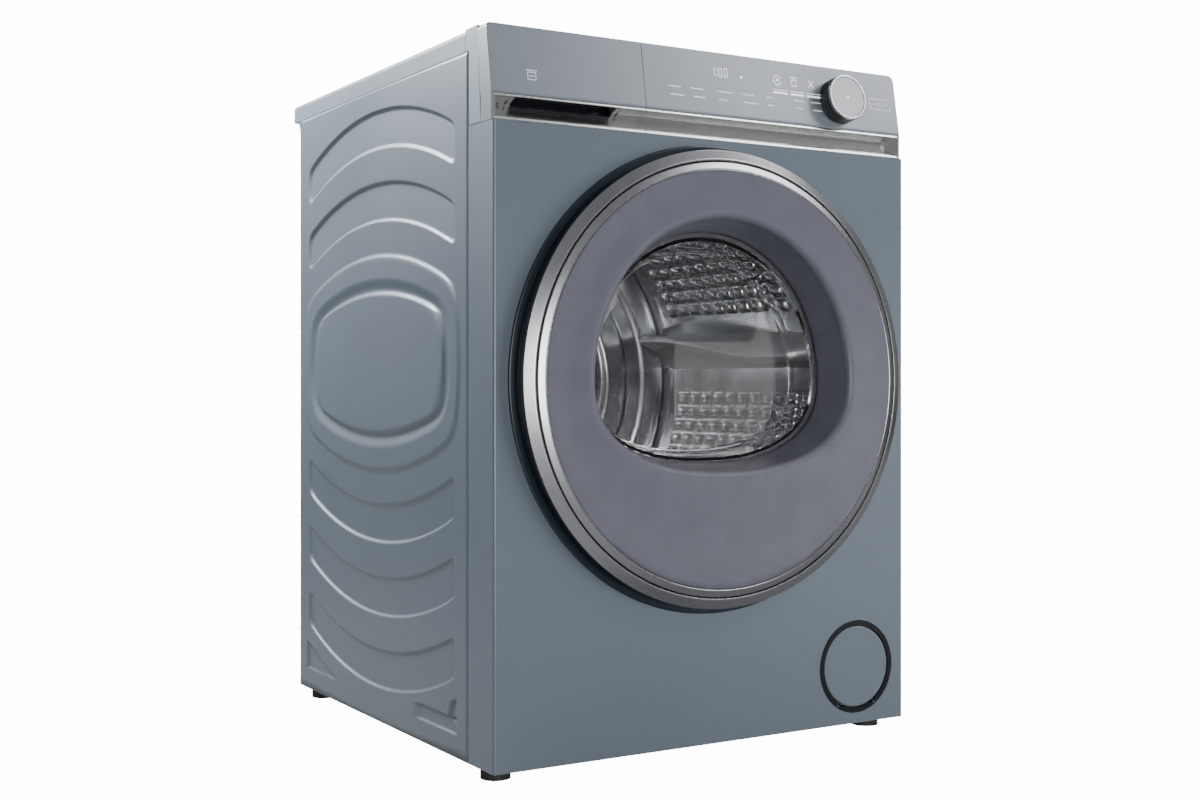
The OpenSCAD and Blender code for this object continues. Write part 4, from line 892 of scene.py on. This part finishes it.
def cover_rings():
    """Front of the smoky cover: dished from its rim to the lip round the window, then into the well."""
    rim = circle(0, 0, COVER_R, WINDOW_STEPS)
    lip = window_outline(LIP_GROW)
    rings = [outline_at([(x * 0.9995, z * 0.9995) for x, z in rim], DOOR_FRONT + 4.5),
             outline_at([(x * 0.9998, z * 0.9998) for x, z in rim], DOOR_FRONT + 0.9)]
    for t in np.linspace(0.006, 1, 22):
        dish = 1.3 * math.sin(math.pi * t) ** 2
        blend = [(a[0] + (b[0] - a[0]) * t, a[1] + (b[1] - a[1]) * t) for a, b in zip(rim, lip)]
        rings.append(outline_at(blend, DOOR_FRONT + 0.05 + dish))
    # Rounded shoulder into the well
    for a in np.linspace(0.15, 1.0, 9):
        t = a * math.pi / 2
        y = DOOR_FRONT + 0.05 + LIP_GROW * (1 - math.cos(t))
        rings.append(outline_at(window_outline(LIP_GROW * (1 - math.sin(t))), y))
    y_start = DOOR_FRONT + LIP_GROW
    for t in np.linspace(0.08, 1, 10):
        k = 1 + (WELL_SCALE - 1) * t
        rings.append(outline_at(window_outline(0, k), y_start + (WELL_Y - y_start) * t))
    return rings


new_piece("door_cover_shell", loft(cover_rings(), wrap=True), M["cover"], "door",
          ("door_cover",), sharp=60, weighted=False, solid=2.4)


def glass_wall(grow, y_back, corner):
    """Outlines down one face of the bowl's wall, round its rear corner and to the middle of its back."""
    front, back = GLASS_LO.y, GLASS_HI.y
    run = []
    for y in np.linspace(front + 3, y_back - corner, 9):
        run.append((1 - (1 - BOWL_TAPER) * (y - front) / (back - front), grow, y))
    narrow = run[-1][0]
    for a in np.linspace(0.15, 1, 8) * math.pi / 2:
        run.append((narrow, grow - corner * (1 - math.cos(a)), y_back - corner + corner * math.sin(a)))
    rings = [[(x * k * GLASS_SCALE, y, z * k * GLASS_SCALE) for x, z in window_outline(g)] for k, g, y in run]
    rings += [[(x * s, y, z * s) for x, y, z in rings[-1]] for s in (0.7, 0.4, 0.15)]
    return [[(x, y, DOOR_Z + z) for x, y, z in ring] for ring in rings]


def glass_bowl():
    """A flanged bowl with a flat back, as one closed skin round the thickness of the glass."""
    back = GLASS_HI.y
    outer = glass_wall(0.0, back - 0.6, BOWL_CORNER)
    inner = glass_wall(-GLASS_T, back - 0.6 - GLASS_T, BOWL_CORNER - GLASS_T)
    flange = [outline_at(window_outline(grow, GLASS_SCALE), GLASS_LO.y + y)
              for grow, y in ((8.0, 3.0), (8.4, 1.5), (8.0, 0.2))]
    return loft(outer[::-1] + flange + inner, cap_start=True, cap_end=True)


new_piece("door_glass_bowl", glass_bowl(), M["glass"], "door", ("door_glass",), sharp=60,
          weighted=False)

RING_Y = RING_HI.y  # back of the silver ring
new_piece("door_silver_ring", revolve(rounded([
    (DOOR_R - 0.2, RING_Y), (DOOR_R, RING_Y - 0.8), (DOOR_R - 11.2, RING_Y - 6.9),
    (DOOR_R - 13.0, RING_Y - 6.7), (DOOR_R - 13.0, RING_Y)],
    [0.2, 0.8, 0.9, 0.7, 0.2], 5), 288), M["ring"], "door",
    ("door_ring",), sharp=50)
new_piece("door_bevel_ring", revolve(rounded([
    (DOOR_R - 14.5, DOOR_FRONT + 4.2), (DOOR_R - 15.2, DOOR_FRONT + 2.9), (DOOR_R - 22.8, DOOR_FRONT + 0.35),
    (DOOR_R - 23.6, DOOR_FRONT + 0.9), (DOOR_R - 24.4, DOOR_FRONT + 0.15), (DOOR_R - 24.5, DOOR_FRONT + 5),
    (DOOR_R - 14.5, RING_Y)], [0.5, 0.8, 0.5, 0.3, 0.2, 0.1, 0.1], 4), 288), M["ring"], "door",
    ("door_bevel",), sharp=50)
SURROUND_R = box_of("door_surround")[1].x
new_piece("door_surround_ring", revolve(rounded([
    (DOOR_R - 10, -0.02), (DOOR_R - 10, -2), (SURROUND_R - 1.6, -2), (SURROUND_R, -0.02)],
    [0.2, 0.4, 1.4, 0.1], 5), 288), M["navy"], "root", ("door_surround",), sharp=50)
for node, finish, bevel in (
        ("door_skirt", "gloss_black", 0.5), ("door_inner_frame", "grey", 0.7),
        ("door_hinge_leaf", "zinc", 0.4), ("hinge_bracket", "zinc", 0.4), ("hinge_pin", "silver", 0.4),
        ("door_seal", "rubber", 0.5), ("door_catch", "black", 0.6)):
    dress(node, M[finish], bevel)


# ---- Drum ----

LIFTER_ANGLE = 9.0  # first lifter, above the right side
LIFTERS = 3
HALF_CREST = 1.1  # half the crest's width in degrees
SECTOR = 360.0 / LIFTERS
ROW_PITCH = 4.37  # degrees from one row of pillows to the next
ROWS = 22
COLUMN_PITCH = 31.0
COLUMNS = 13
PILLOW_H = 4.2
RIB_H = 2.2  # rolled ribs near the shell's ends
FIRST_ROW = LIFTER_ANGLE + 13.7  # middle of the first row after a lifter
FIRST_COLUMN = SHELL_LO.y + 40
DRUM_FRONT = SHELL_LO.y
DRUM_END = BACK_LO.y + 9  # where the shell meets its back
PILLOW_EDGE = 0.41  # half a pillow's width in pitches
PILLOW_CUTS = (-0.5, -PILLOW_EDGE, -0.35, -0.29, -0.15, 0.0, 0.15, 0.29, 0.35, PILLOW_EDGE)


def pillow_share(u):
    """Height of a pillow over one pitch, from 0 in the gap to 1 in its middle."""
    crown = 0.86 + 0.14 * math.cos(math.pi * min(1, abs(u) / PILLOW_EDGE))
    return smooth_step((PILLOW_EDGE - abs(u)) / 0.13) * crown


def drum_lines():
    """Angles and depths of the grid, each with its pillow's share of height."""
    angles = []
    for s in range(LIFTERS):
        base = FIRST_ROW + s * SECTOR
        for row in range(ROWS):
            for u in PILLOW_CUTS:
                angles.append((base + (row + u) * ROW_PITCH, pillow_share(u)))
        end = base + (ROWS - 0.5) * ROW_PITCH
        gap = base + SECTOR - 0.5 * ROW_PITCH - end
        for k in range(8):
            angles.append((end + gap * k / 8, 0.0))
    depths = [(y, 0.0) for y in np.linspace(DRUM_FRONT, FIRST_COLUMN - COLUMN_PITCH / 2, 4)[:-1]]
    for column in range(COLUMNS):
        for u in PILLOW_CUTS:
            depths.append((FIRST_COLUMN + (column + u) * COLUMN_PITCH, pillow_share(u)))
    start = FIRST_COLUMN + (COLUMNS - 0.5) * COLUMN_PITCH
    depths += [(y, 0.0) for y in np.linspace(start, DRUM_END, 7)]
    return angles, depths


def drum_shell():
    angles, depths = drum_lines()
    rings = []
    for angle, share in angles:
        a = math.radians(angle)
        ring = []
        for y, depth_share in depths:
            rear_rib = math.exp(-((y - DRUM_END + 26) / 5) ** 2)
            front_rib = math.exp(-((y - DRUM_FRONT - 12) / 4) ** 2)
            r = DRUM_R - PILLOW_H * share * depth_share - RIB_H * (rear_rib + front_rib)
            ring.append((r * math.cos(a), y, DOOR_Z + r * math.sin(a)))
        rings.append(ring)
    return loft(rings, wrap=False, loop=True)


new_piece("drum_wall", drum_shell(), M["steel"], "drum", ("drum_shell",), sharp=70,
          weighted=False, solid=-0.8)


def drum_back():
    """Pressed rings round a finely pierced middle."""
    y = BACK_LO.y
    profile = [(DRUM_R - 0.1, y + 4), (243, y + 4), (237, y + 8.6), (212, y + 8.6), (204, y + 0.4),
               (173, y + 0.4), (165, y + 8.6), (158, y + 8.6), (150, y + 3.5), (144, y + 3.5)]
    line = rounded([(DRUM_R - 0.1, y + 30)] + profile + [(144, y + 30)], 3.2, 4)
    line = [p for p in line if p[1] < y + 12]
    return revolve(line, 288, closed=False)


new_piece("drum_back_rings", drum_back(), M["back"], "drum", ("drum_back",), sharp=50,
          weighted=False, solid=-0.8)


def pierced_middle():
    """The flat middle of the drum's back, with rings of small holes and a pressed hub."""
    y = BACK_LO.y + 3.6
    holes = []
    for ring in range(9):
        r = 62 + ring * 9.2
        count = int(2 * math.pi * r / 10.5)
        for k in range(count):
            a = 2 * math.pi * (k + 0.5 * (ring % 2)) / count
            holes.append(circle(r * math.cos(a), DOOR_Z + r * math.sin(a), 3.1, 8))
    return plate(circle(0, DOOR_Z, 145, 144), holes, y, y + 0.8)


new_piece("drum_back_grille", pierced_middle(), M["back"], "drum", sharp=40, weighted=False)
new_piece("drum_back_hub", revolve([(r, BACK_LO.y + y) for r, y in (
    (0.05, 1.0), (30, 1.0), (38, 1.6), (46, 3.55), (46, 4.4), (0.05, 4.4))], 96, closed=False),
    M["back"], "drum", sharp=50, weighted=False)


def lifter(index):
    """A hollow fin whose crest leans over towards the back in a wave."""
    y0, y1 = DRUM_FRONT + 30, DRUM_END - 6
    base = LIFTER_ANGLE + index * SECTOR
    rings = []
    for t in np.linspace(0, 1, 40):
        y = y0 + (y1 - y0) * t
        wave = float(smooth_step((t - 0.25) / 0.60))
        crest_a = base - 0.5 + 7.0 * wave
        rise = float(smooth_step(t / 0.12)) * (1 - 0.06 * wave)
        end = float(smooth_step((1 - t) / 0.05))
        crest_r = DRUM_R - 1.0 - 53.0 * rise * (0.35 + 0.65 * end)
        half_root = 5.4 * min(1.0, 0.5 + 0.5 * smooth_step(t / 0.06))
        ring = []
        for side in (-1, 1):
            rows = []
            for s in np.linspace(0, 1, 9):
                # A concave flank from the root up to the crest
                root, crest = base + side * half_root, crest_a + side * HALF_CREST
                radius = DRUM_R + 0.4 + (crest_r - DRUM_R) * s ** 1.15
                rows.append((root + (crest - root) * s ** 0.75, radius))
            ring += rows if side < 0 else [(crest_a, crest_r - 2.4)] + rows[::-1]
        rings.append([(r * math.cos(math.radians(a)), y, DOOR_Z + r * math.sin(math.radians(a)))
                      for a, r in ring])
    return loft(rings, wrap=True, cap_start=True, cap_end=True)


new_piece("drum_lifter_fins", joined(*[lifter(i) for i in range(LIFTERS)]), M["fin"], "drum",
          ("drum_lifters",), sharp=55, weighted=False)
dress("drum_felt", M["felt"])


# ---- Service flap, feet and what shows at the back ----

FLAP_STEPS = 144


def flap_disc():
    """Flap with a rounded rim and a shallow dished face."""
    r = FLAP_R
    profile = ((0.05, 0.25), (r - 9, 0.25), (r - 3.0, 0.12), (r - 1.3, 0.0), (r - 0.35, 0.35), (r, 1.3),
               (r, FLAP_HI.y), (r - 3, FLAP_HI.y), (0.05, FLAP_HI.y))
    rings = []
    for k in range(FLAP_STEPS):
        a = 2 * math.pi * k / FLAP_STEPS
        rings.append([(FLAP_X + rr * math.cos(a), y, FLAP_Z + rr * math.sin(a)) for rr, y in profile])
    return loft(rings, wrap=False, loop=True)


new_piece("service_flap_disc", flap_disc(), M["body"], "service_flap", ("service_flap",),
          sharp=40, weighted=False)
dress("service_ring", M["gloss_black"], 0.3)
dress("filter_plug", M["white"], 0.5)
for foot in ("foot_front_left", "foot_front_right", "foot_rear_left", "foot_rear_right"):
    dress(foot, M["rubber"], 0.8)

for node, finish, bevel in (
        ("rear_panel", "zinc", 0.0), ("rear_duct_cover", "zinc", 0.8), ("rear_screws", "silver", 0.5),
        ("mains_inlet", "black", 0.8), ("drain_spigot", "grey", 0.5), ("front_bulkhead", "grey", 0.5),
        ("rear_bulkhead", "zinc", 0.0), ("rear_bearing", "steel", 0.3), ("motor_housing", "motor", 0.8),
        ("motor_shaft", "steel", 0.3), ("fan_impeller", "dark", 0.0), ("drive_belt", "belt", 0.0),
        ("idler_arm", "zinc", 0.3), ("idler_wheel", "black", 0.4), ("air_tunnel", "grey", 0.6),
        ("compressor", "motor", 0.8), ("evaporator", "fins", 0.0), ("condenser", "copper", 0.0),
        ("condensate_pump", "dark", 0.6), ("condensate_hose", "white", 0.0), ("lint_filter", "grey", 0.4),
        ("tank_housing", "grey", 0.4), ("water_tank", "white", 0.8), ("tank_lid", "grey", 0.5)):
    dress(node, M[finish], bevel)


# ---- Floor, light and camera ----

WHITE = 15.0  # strength that comes out as white
LAMPS = (
    # name, place, aimed at, width, height, watts, seen in mirrors, seen through the glass
    ("above_side", (-0.80, 0.46, 1.42), (-0.30, 0.26, 0.80), 0.55, 0.8, 43, True, True),
    ("rear_left_high", (-1.40, 2.20, 2.10), (-0.30, 0.20, 0.80), 1.4, 1.0, 38, True, True),
    ("right_high", (1.75, -1.75, 2.10), (0.15, -0.30, 0.80), 1.1, 0.9, 20, True, True),
    ("top_right", (1.60, 0.00, 2.60), (0.15, -0.20, 0.80), 1.1, 1.1, 44, True, True),
    ("right_low", (1.50, -1.75, 0.30), (0.25, -0.30, 0.08), 1.2, 0.5, 30, False, False),
    ("window_sheen", (1.75, -2.10, 0.42), (0.10, -0.30, 0.45), 0.9, 0.3, 0.9, True, True),
    ("left_front", (-1.00, -3.00, 0.55), (0, -0.3, 0.30), 1.0, 1.0, 46, True, False),
    ("drum_lamp", (0.00, -0.19, 0.615), (0.16, 0.20, 0.44), 0.20, 0.03, 0.8, True, False),
    ("drum_glow", (-0.16, -0.16, 0.34), (0.25, 0.12, 0.48), 0.03, 0.12, 0.45, True, False),
)


def white_to_camera(tree, shader, kind):
    """Mixes a shader with plain white of that kind that only the camera sees, and returns the mix."""
    seen = tree.nodes.new("ShaderNodeLightPath")
    white = tree.nodes.new(kind)
    white.inputs["Color"].default_value = (1, 1, 1, 1)
    white.inputs["Strength"].default_value = WHITE
    mix = tree.nodes.new("ShaderNodeMixShader")
    tree.links.new(seen.outputs["Is Camera Ray"], mix.inputs["Fac"])
    tree.links.new(shader, mix.inputs[1])
    tree.links.new(white.outputs[0], mix.inputs[2])
    return mix.outputs[0]


def stage_and_light():
    size = 12.0
    floor_mesh = bpy.data.meshes.new("floor")
    floor_mesh.from_pydata([(-size, -size, 0), (size, -size, 0), (size, size, 0), (-size, size, 0)], [],
                           [(0, 1, 2, 3)])
    floor = bpy.data.objects.new("floor", floor_mesh)
    bpy.context.scene.collection.objects.link(floor)
    f = Finish("floor_pale", (0.20, 0.20, 0.205), 0.8)
    f.vary_rough(f.noise(3, 2), 0.02)
    f.link(white_to_camera(f.tree, f.shader.outputs["BSDF"], "ShaderNodeEmission"),
           f.tree.nodes["Material Output"].inputs["Surface"])
    floor_mesh.materials.append(f.mat)
    world = bpy.data.worlds.new("studio")
    world.use_nodes = True
    tree = world.node_tree
    sky = tree.nodes["Background"]
    sky.inputs["Color"].default_value = (0.95, 0.98, 1.0, 1)
    sky.inputs["Strength"].default_value = 0.22
    tree.links.new(white_to_camera(tree, sky.outputs["Background"], "ShaderNodeBackground"),
                   tree.nodes["World Output"].inputs["Surface"])
    bpy.context.scene.world = world
    for name, at, target, width, height, watts, mirrored, through_glass in LAMPS:
        data = bpy.data.lights.new(name, "AREA")
        data.shape = "RECTANGLE"
        data.size, data.size_y, data.energy = width, height, watts
        lamp = bpy.data.objects.new(name, data)
        lamp.location = at
        lamp.visible_glossy = mirrored
        lamp.visible_transmission = through_glass
        lamp.rotation_mode = "QUATERNION"
        lamp.rotation_quaternion = (Vector(target) - Vector(at)).to_track_quat("-Z", "Y")
        bpy.context.scene.collection.objects.link(lamp)


def camera():
    data = bpy.data.cameras.new("camera")
    data.lens = 46.3
    data.sensor_width = 36
    data.shift_y = -0.0124
    cam = bpy.data.objects.new("camera", data)
    cam.location = (-1.072, -1.8175, 0.445)
    cam.rotation_euler = (math.radians(90), 0, math.radians(-31.01))
    bpy.context.scene.collection.objects.link(cam)
    bpy.context.scene.camera = cam


stage_and_light()
camera()
